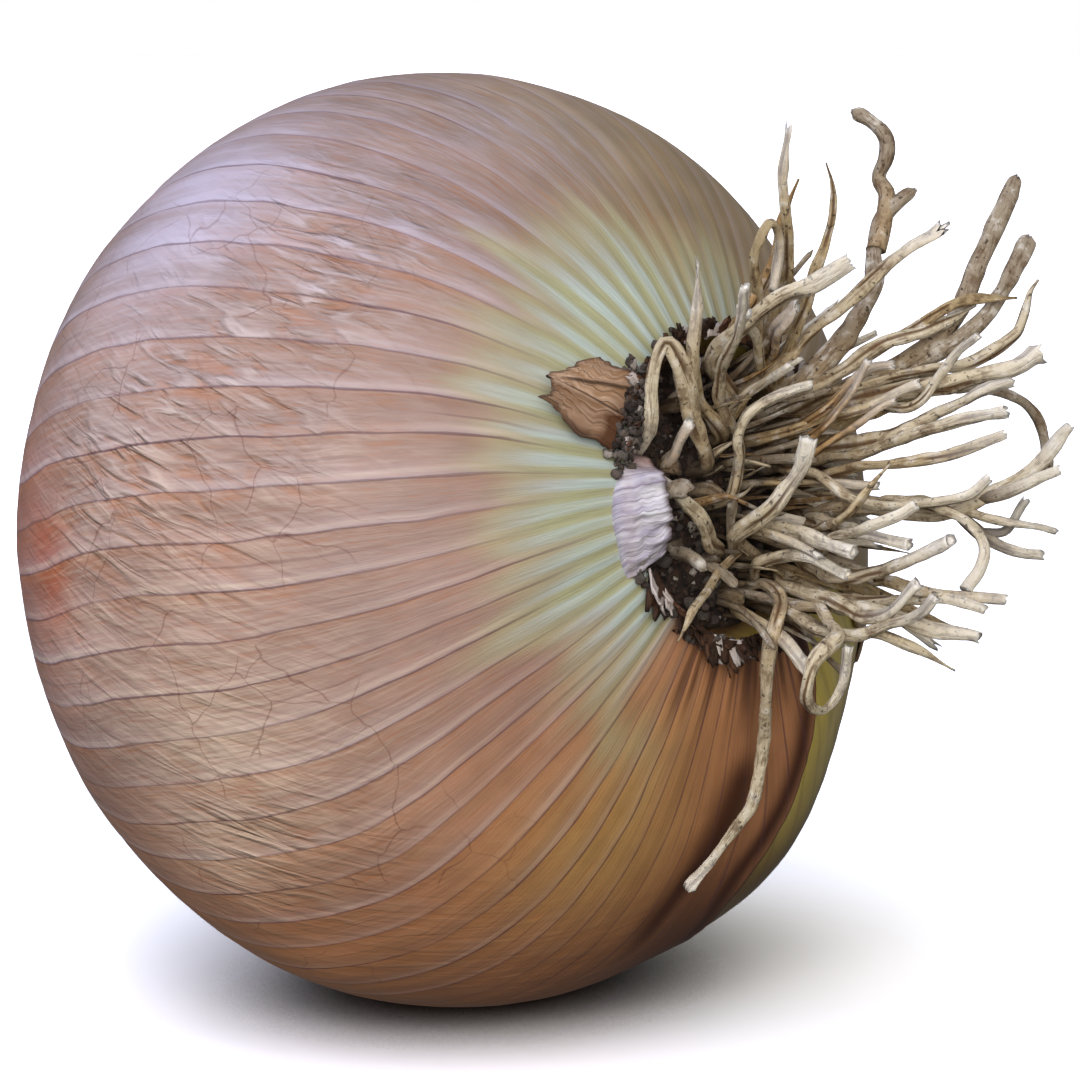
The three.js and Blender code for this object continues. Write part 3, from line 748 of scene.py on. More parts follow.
@dataclass(frozen=True)
class DriedRoot:
    """Dead root: shrivelled, matte and fibrous, cream where clean and brown where dirty."""

    cream: str = "cfc3a8"
    tan: str = "b09a72"
    ochre: str = "a57c47"
    grey: str = "82776d"
    cut: str = "efeae0"
    dirt: str = "33261c"
    furrow: str = "5e4226"
    base: str = "a58a63"

    def material(self) -> bpy.types.Material:
        """Builds the finish from the marks of the roots' mesh.

        Returns:
            The finished material.
        """
        s = Shader("dried onion root")
        along, around, tone = s.mark("along"), s.mark("around"), s.mark("tone")
        place = s.place()
        colour = s.mixed(tone, self.cream, self.tan)
        colour = s.mixed(s.mark("ochre"), colour, self.ochre)
        colour = s.mixed(s.mark("grey"), colour, self.grey)
        # Blotches of 1.6 mm, brown furrows along the root, painted shade along each groove, and specks of soil 0.4
        # mm wide.
        blotch = s.noise(place, 0.0016, 3.0, 0.65)
        colour = s.mixed(s.mark("browned"), colour, self.base)
        colour = s.mixed(s.graded(blotch, 0.50, 0.32, 0.0, 0.65), colour, self.furrow)
        colour = s.mixed(s.graded(blotch, 0.52, 0.70, 0.0, 0.5), colour, self.cut)
        round_root, down_root = s.math("MULTIPLY", around, 5.0), s.math("MULTIPLY", along, 0.45)
        fibre_place = s.joined(round_root, down_root, s.mark("draw"))
        fibres = s.noise(fibre_place, 0.8, 3.0, 0.65)
        # Painted shade: each groove of the root is darkened with the furrow colour.
        groove_shade = s.graded(s.mark("groove"), 0.2, 0.85, 0.0, 0.95)
        furrows_and_groove_shade = s.math("MAXIMUM", s.graded(fibres, 0.48, 0.34, 0.0, 0.6), groove_shade)
        colour = s.mixed(furrows_and_groove_shade, colour, self.furrow)
        speck = s.noise(place, 0.00045, 2.0)
        colour = s.mixed(s.graded(speck, 0.62, 0.70, 0.0, 0.8), colour, self.dirt)
        colour = s.mixed(s.mark("soiled"), colour, self.dirt)
        colour = s.mixed(s.mark("cut"), colour, self.cut)
        normal = s.bumped(fibres, 0.0003, 0.9)
        normal = s.bumped(blotch, 0.0003, 0.8, normal)
        return s.finish(colour, 0.85, normal, IOR=1.5, Specular_IOR_Level=0.3)


@dataclass(frozen=True)
class SoilCrumb:
    """Dried soil and dead tissue caked on the root plate: crumbly and almost black."""

    dark: str = "1d1411"
    brown: str = "4a3222"
    grey: str = "a39a90"

    def material(self) -> bpy.types.Material:
        """Builds the finish from the marks of the soil's mesh.

        Returns:
            The finished material.
        """
        s = Shader("dried soil crumbs")
        place = s.place()
        fine = s.noise(place, 0.0007, 4.0, 0.7)
        colour = s.mixed(s.graded(fine, 0.4, 0.75), self.dark, self.brown)
        colour = s.mixed(s.mark("light"), colour, self.grey)
        normal = s.bumped(fine, 0.0004, 0.9)
        return s.finish(colour, 0.95, normal, IOR=1.5)


@dataclass(frozen=True)
class TornScale:
    """A dead scrap of leaf base: crisp, matte and folded."""

    name: str
    light: str
    dark: str
    edge: str
    dark_part: str
    fibre_mm: float = 0.35

    def material(self) -> bpy.types.Material:
        """Builds the finish from the marks of the scrap's mesh.

        Returns:
            The finished material.
        """
        s = Shader(self.name)
        across, along = s.mark("across"), s.mark("along")
        stretched = s.joined(s.math("DIVIDE", across, self.fibre_mm), s.math("MULTIPLY", along, 0.25))
        fibres = s.noise(stretched, 1.0, 3.0, 0.6)
        cloud = s.noise(s.place(), 0.0022, 3.0)
        colour = s.mixed(s.graded(fibres, 0.25, 0.75), self.dark, self.light)
        colour = s.mixed(s.graded(cloud, 0.45, 0.75, 0.0, 0.5), colour, self.dark)
        darker = s.math("MULTIPLY", s.mark("darker"), s.graded(cloud, 0.3, 0.6, 1.0, 0.7))
        colour = s.mixed(darker, colour, self.dark_part)
        # Thin dark veins 1.1 mm apart.
        to_vein = s.math("ABSOLUTE", s.math("SUBTRACT", s.math("FRACT", s.math("DIVIDE", across, 1.1)), 0.5))
        colour = s.mixed(s.graded(to_vein, 0.08, 0.0, 0.0, 0.5), colour, self.edge)
        colour = s.mixed(s.mark("edge"), colour, self.edge)
        colour = s.mixed(s.mark("white"), colour, "cdc4bf")
        normal = s.bumped(fibres, 0.0002, 0.9)
        return s.finish(colour, 0.7, normal, IOR=1.46, Specular_IOR_Level=0.3)


class Tip(Enum):
    """How a root ends."""

    CUT = "cut across"
    FRAYED = "frayed"
    POINTED = "withered to a point"
    FLARED = "flared"


class Tone(Enum):
    """A root's broad colour."""

    CREAM = "cream"
    TAN = "tan"
    OCHRE = "ochre"
    GREY = "grey"


@dataclass(frozen=True)
class Root:
    """One root: its name, thickness in mm and route, as in the solids' source."""

    name: str
    girth: float
    route: list
    tone: Tone = Tone.CREAM
    tip: Tip = Tip.CUT


NAMED_ROOTS = [
    Root("near hairpin", 1.4, [[-1, 2, -3], [3, 5, -5], [5, 10, -8], [5, 12, -9], [4, 9, -10], [3, 6, -10],
                               [-1, 3, -9]]),
    Root("near band", 1.2, [[-1, -5, -2], [3, -4, -5], [4, -2, -7], [3, 0, -8], [-1, 2, -7]]),
    Root("near upright", 1.1, [[-1, 4, -1], [3, 7, -4], [6, 11, -7], [8, 17, -8]], Tone.TAN, Tip.FRAYED),
    Root("second upright", 1.1, [[-1, 4, 1], [4, 7, -3], [8, 10, -6], [14, 15, -10]]),
    Root("third upright", 1.1, [[-1, 5, 4], [3, 7, 0], [6, 9, -4], [12, 13, -8]], Tone.TAN),
    Root("fourth upright", 1.0, [[-1, 6, 7], [4, 8, 4], [6, 10, 0], [9, 14, -4]], Tone.TAN),
    Root("snaking", 1.2, [[-1, 0, -3], [3, -1, -2], [5, 2, -2], [7, 6, -3], [9, 7, 0], [10, 7, 2]]),
    Root("short dark", 1.0, [[-1, -5, -1], [3, -3, -2], [5, -1, -4]], Tone.GREY),
    Root("thick curl", 1.4, [[-1, -6, 2], [3, -4, -1], [7, -2, -2], [10, 1, -1], [11, 3, -1]]),
    Root("middle straight", 1.3, [[-1, -4, 3], [3, -4, 1], [7, -4, 0], [11, -5, -1], [14, -6, -1]]),
    Root("middle low", 1.1, [[-1, -7, 2], [4, -6, 0], [7, -6, 0], [12, -8, 0]]),
    Root("low near", 0.9, [[-1, -5, 0], [2, -7, -4], [4, -9, -9], [4, -11, -12]], Tone.TAN, Tip.POINTED),
    Root("hanging", 1.05, [[-1, -8, 1], [3, -8, 1], [5, -9, 0], [5, -12, -1], [4, -16, -1], [1, -20, 1],
                          [-1, -25, 1], [-3, -28, 0], [-6, -32, -2]], Tone.CREAM, Tip.FLARED),
    Root("hanging loop", 1.1, [[-1, -9, 2], [6, -10, 1], [13, -12, -3], [13, -14, -7], [12, -17, -7],
                               [12, -18, -5], [13, -16, -3], [14, -13, -3]]),
    Root("low fork", 1.2, [[-1, -8, 4], [3, -9, 2], [10, -12, -1], [17, -12, -1], [21, -10, -1]]),
    Root("low fork, upper", 1.2, [[-1, -7, 5], [4, -8, 2], [11, -10, 0], [16, -11, -1], [19, -9, -1]]),
    Root("thick middle", 1.4, [[-1, -5, 6], [6, -7, 3], [15, -8, 0], [23, -6, -1]]),
    Root("middle short", 1.2, [[-1, -4, 7], [7, -4, 4], [14, -5, 1], [18, -6, 1]]),
    Root("thin riser", 0.9, [[-1, -3, 8], [6, -4, 4], [13, -3, 0], [16, 0, 2]], Tone.TAN, Tip.POINTED),
    Root("thin crossing", 1.0, [[-1, -5, 8], [7, -6, 3], [16, -4, -2], [19, -3, 0]]),
    Root("long middle", 1.1, [[-1, 1, 6], [6, 1, 4], [14, -3, 3], [20, -3, 5], [22, -2, 6]]),
    Root("thick upper, flared", 1.6, [[-1, 4, 8], [6, 5, 9], [13, 6, 12], [19, 6, 14], [21, 7, 17]],
         Tone.CREAM, Tip.FLARED),
    Root("upper, turned up", 1.1, [[-1, 5, 8], [8, 7, 12], [16, 7, 15], [19, 10, 18], [20, 13, 20]],
         Tone.CREAM, Tip.POINTED),
    Root("upper branch", 1.0, [[-1, 4, 9], [7, 5, 10], [14, 5, 11], [17, 8, 12], [19, 9, 12]]),
    Root("far thick", 1.4, [[-1, 2, 8], [6, 2, 8], [14, 3, 9], [20, 5, 11], [21, 5, 13]]),
    Root("far straight", 1.3, [[-1, 1, 9], [6, 1, 8], [15, 2, 8], [22, 3, 10]]),
    Root("far thin", 1.1, [[-1, 0, 8], [7, 0, 6], [15, 0, 5], [22, 1, 9]], Tone.TAN),
    Root("longest", 1.2, [[-1, -3, 8], [9, -3, 7], [19, -4, 7], [23, -2, 11], [26, 1, 12]]),
    Root("longest, side branch", 1.1, [[18, -4, 7], [24, -3, 9], [26, -2, 10]]),
    Root("far arch", 1.3, [[-1, 5, 9], [6, 7, 15], [12, 5, 23], [13, 3, 27], [13, -1, 29], [12, -3, 30]],
         Tone.GREY),
    Root("far low", 1.0, [[-1, -2, 9], [9, -3, 8], [16, -3, 7], [22, -6, 8], [24, -7, 11]]),
    Root("far low, first branch", 1.0, [[18, -4, 7], [20, -7, 8], [23, -8, 11]]),
    Root("far low, second branch", 0.9, [[19, -6, 8], [21, -6, 9], [22, -4, 11]]),
    Root("drooping", 1.1, [[-1, -4, 9], [9, -3, 7], [19, -4, 5], [21, -7, 6], [20, -10, 4]]),
    Root("low far", 1.0, [[-1, -6, 7], [10, -8, 5], [18, -10, 2], [22, -11, 6]], Tone.TAN),
    Root("low far, second", 1.1, [[-1, -8, 5], [8, -10, 3], [19, -11, 3], [21, -12, 5]]),
    Root("low thick", 1.4, [[-1, -8, 4], [8, -10, 3], [14, -11, 1], [21, -14, 4]]),
    Root("lowest", 1.1, [[-1, -9, 3], [10, -12, 0], [15, -13, 0], [18, -16, 4]], Tone.CREAM, Tip.POINTED),
    Root("pale thick", 1.5, [[-1, 7, 2], [4, 10, -2], [9, 13, -3], [14, 15, -1], [16, 16, 1]]),
    Root("tall", 1.1, [[-1, 7, 6], [5, 12, 4], [9, 17, 2], [11, 22, 0], [12, 27, 0]], Tone.TAN, Tip.FRAYED),
    Root("upper hairpin", 0.9, [[-1, 8, 5], [6, 13, 1], [9, 17, -2], [11, 20, -2], [10, 18, 0], [9, 15, 0]],
         Tone.TAN),
    Root("tall, crooked", 1.1, [[-1, 7, 7], [8, 12, 3], [11, 17, 4], [12, 21, 5], [12, 24, 5]], Tone.TAN,
         Tip.POINTED),
    Root("far tall", 1.75, [[-1, 6, 7], [6, 10, 11], [8, 14, 14], [7.5, 17.4, 16], [7.7, 20, 17.5],
                            [8.5, 21.1, 18.5], [9.8, 22, 19.5]], Tone.GREY),
    Root("far tall, crooked", 1.6, [[7.5, 17.4, 16], [7.7, 20.4, 17.8], [7.6, 21.8, 18.5], [6.8, 23.5, 19],
                                    [7.8, 25.0, 19], [8.0, 26.6, 19], [7.3, 27.9, 18.5], [5.7, 29.0, 18]],
         Tone.GREY),
    Root("far thick riser", 1.75, [[-1, 4, 8], [7, 7, 14], [12, 10, 18], [14, 17, 23], [15, 22, 27]],
         Tone.GREY),
    Root("far riser", 1.5, [[-1, 4, 9], [8, 7, 15], [14, 10, 19], [16, 17, 26]], Tone.GREY),
    Root("far wisp", 1.0, [[-1, 6, 7], [8, 9, 13], [14, 12, 17], [17, 12, 21]], Tone.TAN, Tip.POINTED),
    Root("ochre", 1.1, [[-1, 8, 4], [4, 10, 4], [8, 12, 1], [10, 14, 1]], Tone.OCHRE, Tip.FRAYED),
    Root("ochre, lower", 0.9, [[-1, 3, 6], [8, 5, 5], [11, 8, 8], [13, 8, 9]], Tone.OCHRE),
    Root("ochre, middle", 0.9, [[-1, 2, 7], [7, 3, 5], [13, 8, 6]], Tone.OCHRE),
    Root("ochre, side", 0.9, [[-1, 1, 7], [8, 2, 4], [13, 5, 9]], Tone.OCHRE),
]


def centripetal_curve(points: np.ndarray, spacing: float) -> np.ndarray:
    """Evenly spaced places on a smooth curve through some points.

    Args:
        points: The points that the curve passes.
        spacing: Distance between places, in millimetres.

    Returns:
        The places, ends included.
    """
    padded = np.concatenate([[2 * points[0] - points[1]], points, [2 * points[-1] - points[-2]]])
    dense = []
    for p0, p1, p2, p3 in zip(padded[:-3], padded[1:-2], padded[2:-1], padded[3:]):
        spans = ((p0, p1), (p1, p2), (p2, p3))
        knots = np.cumsum([0.0] + [max(np.linalg.norm(b - a) ** 0.5, 1e-4) for a, b in spans])
        t = np.linspace(knots[1], knots[2], 24, endpoint=False)[:, None]
        a1 = (knots[1] - t) / (knots[1] - knots[0]) * p0 + (t - knots[0]) / (knots[1] - knots[0]) * p1
        a2 = (knots[2] - t) / (knots[2] - knots[1]) * p1 + (t - knots[1]) / (knots[2] - knots[1]) * p2
        a3 = (knots[3] - t) / (knots[3] - knots[2]) * p2 + (t - knots[2]) / (knots[3] - knots[2]) * p3
        b1 = (knots[2] - t) / (knots[2] - knots[0]) * a1 + (t - knots[0]) / (knots[2] - knots[0]) * a2
        b2 = (knots[3] - t) / (knots[3] - knots[1]) * a2 + (t - knots[1]) / (knots[3] - knots[1]) * a3
        middle_span = knots[2] - knots[1]
        dense.append((knots[2] - t) / middle_span * b1 + (t - knots[1]) / middle_span * b2)
    path = np.concatenate(dense + [points[-1:]])
    run = np.concatenate([[0.0], np.cumsum(np.linalg.norm(np.diff(path, axis=0), axis=1))])
    places = np.linspace(0.0, run[-1], max(6, round(run[-1] / spacing) + 1))
    return np.stack([np.interp(places, run, path[:, axis]) for axis in range(3)], axis=-1)


def carried_frames(path: np.ndarray) -> tuple[np.ndarray, np.ndarray]:
    """Two directions square to a path at each of its places, turned as little as can be.

    Args:
        path: Places along the path.

    Returns:
        The two directions, one pair for each place.
    """
    tangents = np.gradient(path, axis=0)
    tangents /= np.linalg.norm(tangents, axis=1, keepdims=True)
    side = np.cross(tangents[0], [0.3, 0.9, 0.2])
    sides = []
    for tangent in tangents:
        side = side - tangent * (side @ tangent)
        side /= np.linalg.norm(side)
        sides.append(side)
    sides = np.array(sides)
    return sides, np.cross(tangents, sides)


@dataclass
class OuterSkin:
    """The dry outer skin, open along one side where it has split."""

    first_clock: float = -210.0
    last_clock: float = 106.0
    neck_latitude: float = -79.0
    root_latitude: float = 72.3
    thickness: float = 0.28
    edge_lift: float = 0.2
    hem: float = 1.2
    columns: int = 520
    rows: int = 176
    finish: PaperySkin = field(default_factory=PaperySkin)

    def near_edge(self, latitude: np.ndarray) -> np.ndarray:
        """Clock angle of the split edge on the near side. It leans towards the roots."""
        under_roots = 99.0 + 25.0 * smooth(latitude, 36.0, 74.0)
        share = smooth(latitude, 4.0, 30.0)
        return 109.0 * (1 - share) + under_roots * share + 0.8 * np.sin(np.radians(latitude * 9))

    def far_edge(self, latitude: np.ndarray) -> np.ndarray:
        """Clock angle of the split edge on the far side, as in the solids."""
        slow = 3.0 * np.sin(np.radians(latitude * 3 + 40))
        return self.first_clock + slow + 1.3 * np.sin(np.radians(latitude * 11))

    def clock(self, share: np.ndarray, latitude: np.ndarray) -> np.ndarray:
        """Clock angle of a column, with those next to an edge bent to follow it.

        Args:
            share: Place from the near edge (0) to the far edge (1).
            latitude: Degrees from the widest place.

        Returns:
            Degrees round the bulb's axis.
        """
        straight = self.first_clock + (self.last_clock - self.first_clock) * share
        far_bend = (self.far_edge(latitude) - self.first_clock) * smooth(share, 0.12, 0.0)
        near_bend = (self.near_edge(latitude) - self.last_clock) * smooth(share, 0.86, 1.0)
        tatter = Grain(31).layered(flat_coordinates(latitude * 0.5, share), 2.2, 3)
        tatter = tatter * 0.8 * (smooth(share, 0.985, 1.0) + smooth(share, 0.015, 0.0))
        return straight + far_bend + near_bend + tatter

    def relief(self, latitude: np.ndarray, clock: np.ndarray, phase: np.ndarray, marks: dict) -> np.ndarray:
        """Height of ribs, veins, swells and crinkles over the plain curve, in mm.

        Args:
            latitude: Degrees from the widest place.
            clock: Degrees round the bulb's axis.
            phase: The count of veins.
            marks: The skin's marks.

        Returns:
            The height at each place.
        """
        turn = phase - np.round(phase)
        amplitude = 0.02 + 0.10 * smooth(latitude, 48.0, 68.0) + 0.22 * smooth(latitude, -45.0, -72.0)
        vein_place = flat_coordinates(np.floor(phase + 0.5) * 3.1, latitude * 0.06)
        uneven = 0.75 + 0.5 * Grain(41).at(vein_place, 1.0)
        between = (0.5 - 0.5 * np.cos(2 * np.pi * turn)) ** 0.8
        calm = smooth(clock, 88.0, 62.0) * smooth(clock, 128.0, 108.0) + smooth(clock, 108.0, 128.0)
        ribs = amplitude * between * uneven * (0.25 + 0.75 * np.maximum(calm, smooth(latitude, 0.0, -40.0)))
        ring = np.cos(np.radians(latitude))
        offset = turn * math.radians(VEINS.mean_pitch_deg) * SHAPE.radius * np.maximum(ring, 0.2)
        veins = 0.03 * np.exp(-np.abs(offset / 0.6) ** 1.5) * marks["vein"] * smooth(latitude, 62.0, 40.0)
        strip = np.floor(phase)
        window = np.sin(np.pi * (phase - strip)) ** 0.5
        around = np.radians(clock) * SHAPE.radius
        along = np.radians(latitude) * SHAPE.half_length
        swell = 0.22 * Grain(51).at(flat_coordinates(around, along), 17.0)
        swell += 0.10 * Grain(52).at(flat_coordinates(around, along * 0.6), 6.5)
        across = marks["slant_across"] + 1.3 * Grain(55).at(flat_coordinates(around, along), 5.0)
        slanted = flat_coordinates(across, marks["slant_along"] * 0.3)
        folds = Grain(53).at(slanted + strip[..., None] * 3.7, 2.6)
        folds = 1.0 - np.abs(folds) * 2.4
        slanted = flat_coordinates(across, marks["slant_along"] * 0.3)
        fine = Grain(54).at(slanted + strip[..., None] * 5.3, 1.5)
        crinkles = marks["crinkle"] * window * (0.24 * folds + 0.16 * fine)
        return ribs + veins + swell + crinkles

    def marks(self, latitude: np.ndarray, clock: np.ndarray, phase: np.ndarray) -> dict:
        """Where each colour and relief of the skin lies, as numbers from 0 to 1.

        Args:
            latitude: Degrees from the widest place.
            clock: Degrees round the bulb's axis.
            phase: The count of veins.

        Returns:
            One array for each mark's name.
        """
        around = np.radians(clock) * SHAPE.radius
        along = np.radians(latitude) * SHAPE.half_length
        drift = Grain(61).layered(flat_coordinates(around, along), 12.0, 2)
        lower = smooth(clock + 6 * drift, 8.0, 62.0)
        in_pale_sector = smooth(clock + 5 * drift, 60.0, 40.0) * smooth(clock, -140.0, -95.0)
        zone = 58.5 - 4.0 * bump(clock, -52.0, 26.0)
        zone = zone + 7.0 * smooth(clock, -72.0, -98.0) + 4.0 * smooth(clock, 18.0, 42.0)
        tongue = Grain(64).layered(flat_coordinates(phase * 1.0, latitude * 0.012), 0.55, 3)
        rim = latitude + 2.5 * drift + 4.5 * tongue
        pale = in_pale_sector * smooth(rim, zone - 7.0, zone + 8.0)
        yellow = smooth(clock, 75.0, 50.0) * smooth(clock, -150.0, -100.0) * bump(rim, zone - 2.5, 5.0)
        slant = math.radians(-30.0)
        across = around * np.cos(np.radians(latitude))
        stroke = 0.5 + 0.5 * Grain(62).at(flat_coordinates(np.floor(phase + 0.5) * 2.7, latitude * 0.05), 1.0)
        crinkled = (1.1 * bump(clock, -37.0, 20.0) * bump(latitude, 25.0, 18.0)
                    + 0.8 * bump(clock, -15.0, 12.0) * bump(latitude, 10.0, 16.0)
                    + 0.3 * bump(clock, 8.0, 20.0) * bump(latitude, 4.0, 18.0)
                    + 0.5 * bump(clock, 34.0, 9.0) * bump(latitude, 10.0, 12.0))
        patchy = 0.5 + 0.5 * np.clip(1.6 * Grain(63).at(flat_coordinates(around, along), 9.0), -1, 1)
        marks = {
            "phase": phase,
            "ring": np.maximum(np.cos(np.radians(latitude)), 0.12),
            "along": along,
            "upper": smooth(clock + 8 * drift, 0.0, -60.0),
            "warm": lower * 0.9,
            "pale": pale,
            "yellow": 0.55 * yellow,
            "golden": 0.7 * bump(clock + 4 * drift, 66.0, 16.0) * bump(latitude, 46.0, 16.0),
            "olive": smooth(clock, -62.0, -92.0) * smooth(latitude, 0.0, 40.0) * 0.85,
            # Darker brown low down, partly painted shade.
            "dark_brown_and_shade": smooth(clock, 44.0, 90.0) * smooth(latitude, 70.0, 5.0) * 0.9,
            "blush": (bump(clock, -4.0, 6.0) * bump(latitude, -14.0, 5.5)
                      + 0.55 * bump(clock, -8.0, 14.0) * smooth(latitude, -4.0, -20.0)) * 0.85,
            "streak": smooth(clock, 52.0, 66.0) * smooth(latitude + 3 * drift, 60.0, 71.0),
            # A stained patch, and a painted shadow and painted shade along the free edge.
            "stain_and_shadow": np.clip(self.stained_patch_and_edge_shadow(latitude, clock + 2 * drift), 0, 1),
            "vein": (1.0 - 0.85 * pale) * (0.35 + 0.65 * stroke)
                    * (1.0 - 0.8 * smooth(latitude, 22.0, 42.0) * smooth(clock, -32.0, -55.0)),
            # Where the painted highlight above each vein and the painted shade below it lie.
            "vein_light_and_shade": (0.6 + 0.4 * patchy) * smooth(clock, 78.0, 40.0) * (1.0 - 0.55 * pale)
                   * (1.0 - 0.65 * smooth(clock, -52.0, -76.0)),
            # A painted lilac window reflection, then a painted cream highlight.
            "painted_window_reflection": bump(clock, -49.0, 15.0) * bump(latitude, 0.0, 15.0)
                     + 0.55 * bump(clock, 14.0, 26.0) * smooth(latitude, 56.0, 68.0),
            "glow": bump(clock + 3 * drift, 15.0, 9.0) * bump(latitude, 10.0, 12.0)
                    + 0.8 * bump(clock + 3 * drift, 33.0, 7.0) * bump(latitude, 5.0, 12.0),
            "net": smooth(latitude, 50.0, 28.0) * smooth(np.abs(clock - 5.0), 70.0, 40.0),
            # Where the painted sheen lies.
            "gloss": smooth(latitude, -30.0, -6.0) * smooth(latitude, 62.0, 30.0)
                     * smooth(clock + 6 * drift, 52.0, 18.0)
                     * smooth(clock, -110.0, -75.0) * (0.55 + 0.45 * patchy),
            "crinkle": np.clip(crinkled, 0, 1) * (0.5 + 0.5 * patchy) + 0.10 * smooth(latitude, 45.0, 20.0),
            "slant_across": across * math.cos(slant) + along * math.sin(slant),
            "slant_along": along * math.cos(slant) - across * math.sin(slant),
        }
        return marks

    def stained_patch_and_edge_shadow(self, latitude: np.ndarray, clock: np.ndarray) -> np.ndarray:
        """The blurred brown stained patch below the roots, a painted shadow along the free edge and painted shade
        beside it.

        Args:
            latitude: Degrees from the widest place.
            clock: Degrees round the bulb's axis.

        Returns:
            The share of the dark colour, 0 to 1.
        """
        middle = 84.0 + 10.5 * smooth(latitude, 34.0, 62.0)
        blot = bump(clock, middle, 3.4 + 1.6 * bump(latitude, 52.0, 8.0))
        blot = blot * smooth(latitude, 18.0, 36.0) * smooth(latitude, 61.0, 55.0)
        to_edge = self.near_edge(latitude) - clock
        # A painted shadow along the free edge, and painted shade spreading from it over the lower near side.
        line = bump(to_edge, 2.6, 3.6) * smooth(latitude, 10.0, 30.0)
        edge_shade = 0.75 * smooth(to_edge, 24.0, 4.0) * smooth(latitude, 56.0, 30.0) * smooth(clock, 60.0, 84.0)
        return np.maximum(np.maximum(0.9 * blot, 0.92 * line), edge_shade)

    def build(self) -> bpy.types.Object:
        """Builds the skin as a thin sheet whose edges turn under.

        Returns:
            The piece.
        """
        share = np.linspace(0.0, 1.0, self.columns + 1)[None, :]
        level = np.linspace(0.0, 1.0, self.rows + 1)[:, None]
        neck_fray = 3.4 * np.abs(Grain(71).layered(flat_coordinates(share * 60.0, 0.0), 1.0, 3))
        root_fray = 0.35 * Grain(72).layered(flat_coordinates(share * 110.0, 0.0), 1.0, 3)
        first = self.neck_latitude + neck_fray
        last = self.root_latitude + root_fray
        latitude = first + (last - first) * level
        clock = self.clock(share, latitude)
        phase = VEINS.phase(clock, latitude, 81)
        marks = self.marks(latitude, clock, phase)
        to_edge = np.minimum(share, 1.0 - share) + 0.0 * latitude
        lift = self.edge_lift * smooth(to_edge, 0.033, 0.0) * smooth(np.abs(latitude + 8.0), 18.0, 40.0)
        lift = lift * (1.0 - smooth(share, 0.5, 0.6) * bump(latitude, 22.0, 22.0))
        height = self.relief(latitude, clock, phase, marks) + lift
        outer = SHAPE.point(latitude, clock, -height)
        outer = SHAPE.flattened(outer, 0.0)

        rows, columns = latitude.shape
        points = [outer.reshape(-1, 3)]
        faces = grid_faces(rows, columns)
        numbers = np.arange(rows * columns).reshape(rows, columns)
        border = np.concatenate([numbers[0, :-1], numbers[:-1, -1], numbers[-1, :0:-1], numbers[:0:-1, 0]])
        inward = np.concatenate([numbers[1, :-1], numbers[:-1, -2], numbers[-2, :0:-1], numbers[:0:-1, 1]])
        flat = outer.reshape(-1, 3)
        lat_flat, clock_flat, height_flat = latitude.ravel(), clock.ravel(), height.ravel()
        under = SHAPE.point(lat_flat[border], clock_flat[border], self.thickness - height_flat[border])
        step = flat[inward] - flat[border]
        step /= np.linalg.norm(step, axis=1, keepdims=True)
        points += [under, under + step * self.hem]
        count = len(border)
        ring_numbers = [border, rows * columns + np.arange(count), rows * columns + count + np.arange(count)]
        for upper, lower in zip(ring_numbers[:-1], ring_numbers[1:]):
            faces += np.stack([upper, lower, np.roll(lower, -1), np.roll(upper, -1)], axis=-1).tolist()
        whole = {name: np.ravel(v + 0.0 * latitude) for name, v in marks.items()}
        all_marks = {name: np.concatenate([v, v[border], v[border]]) for name, v in whole.items()}
        piece = new_piece("papery_outer_skin", np.concatenate(points), faces, all_marks)
        piece.data.materials.append(self.finish.material())
        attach(piece, "root")
        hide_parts("outer_skin")
        return piece


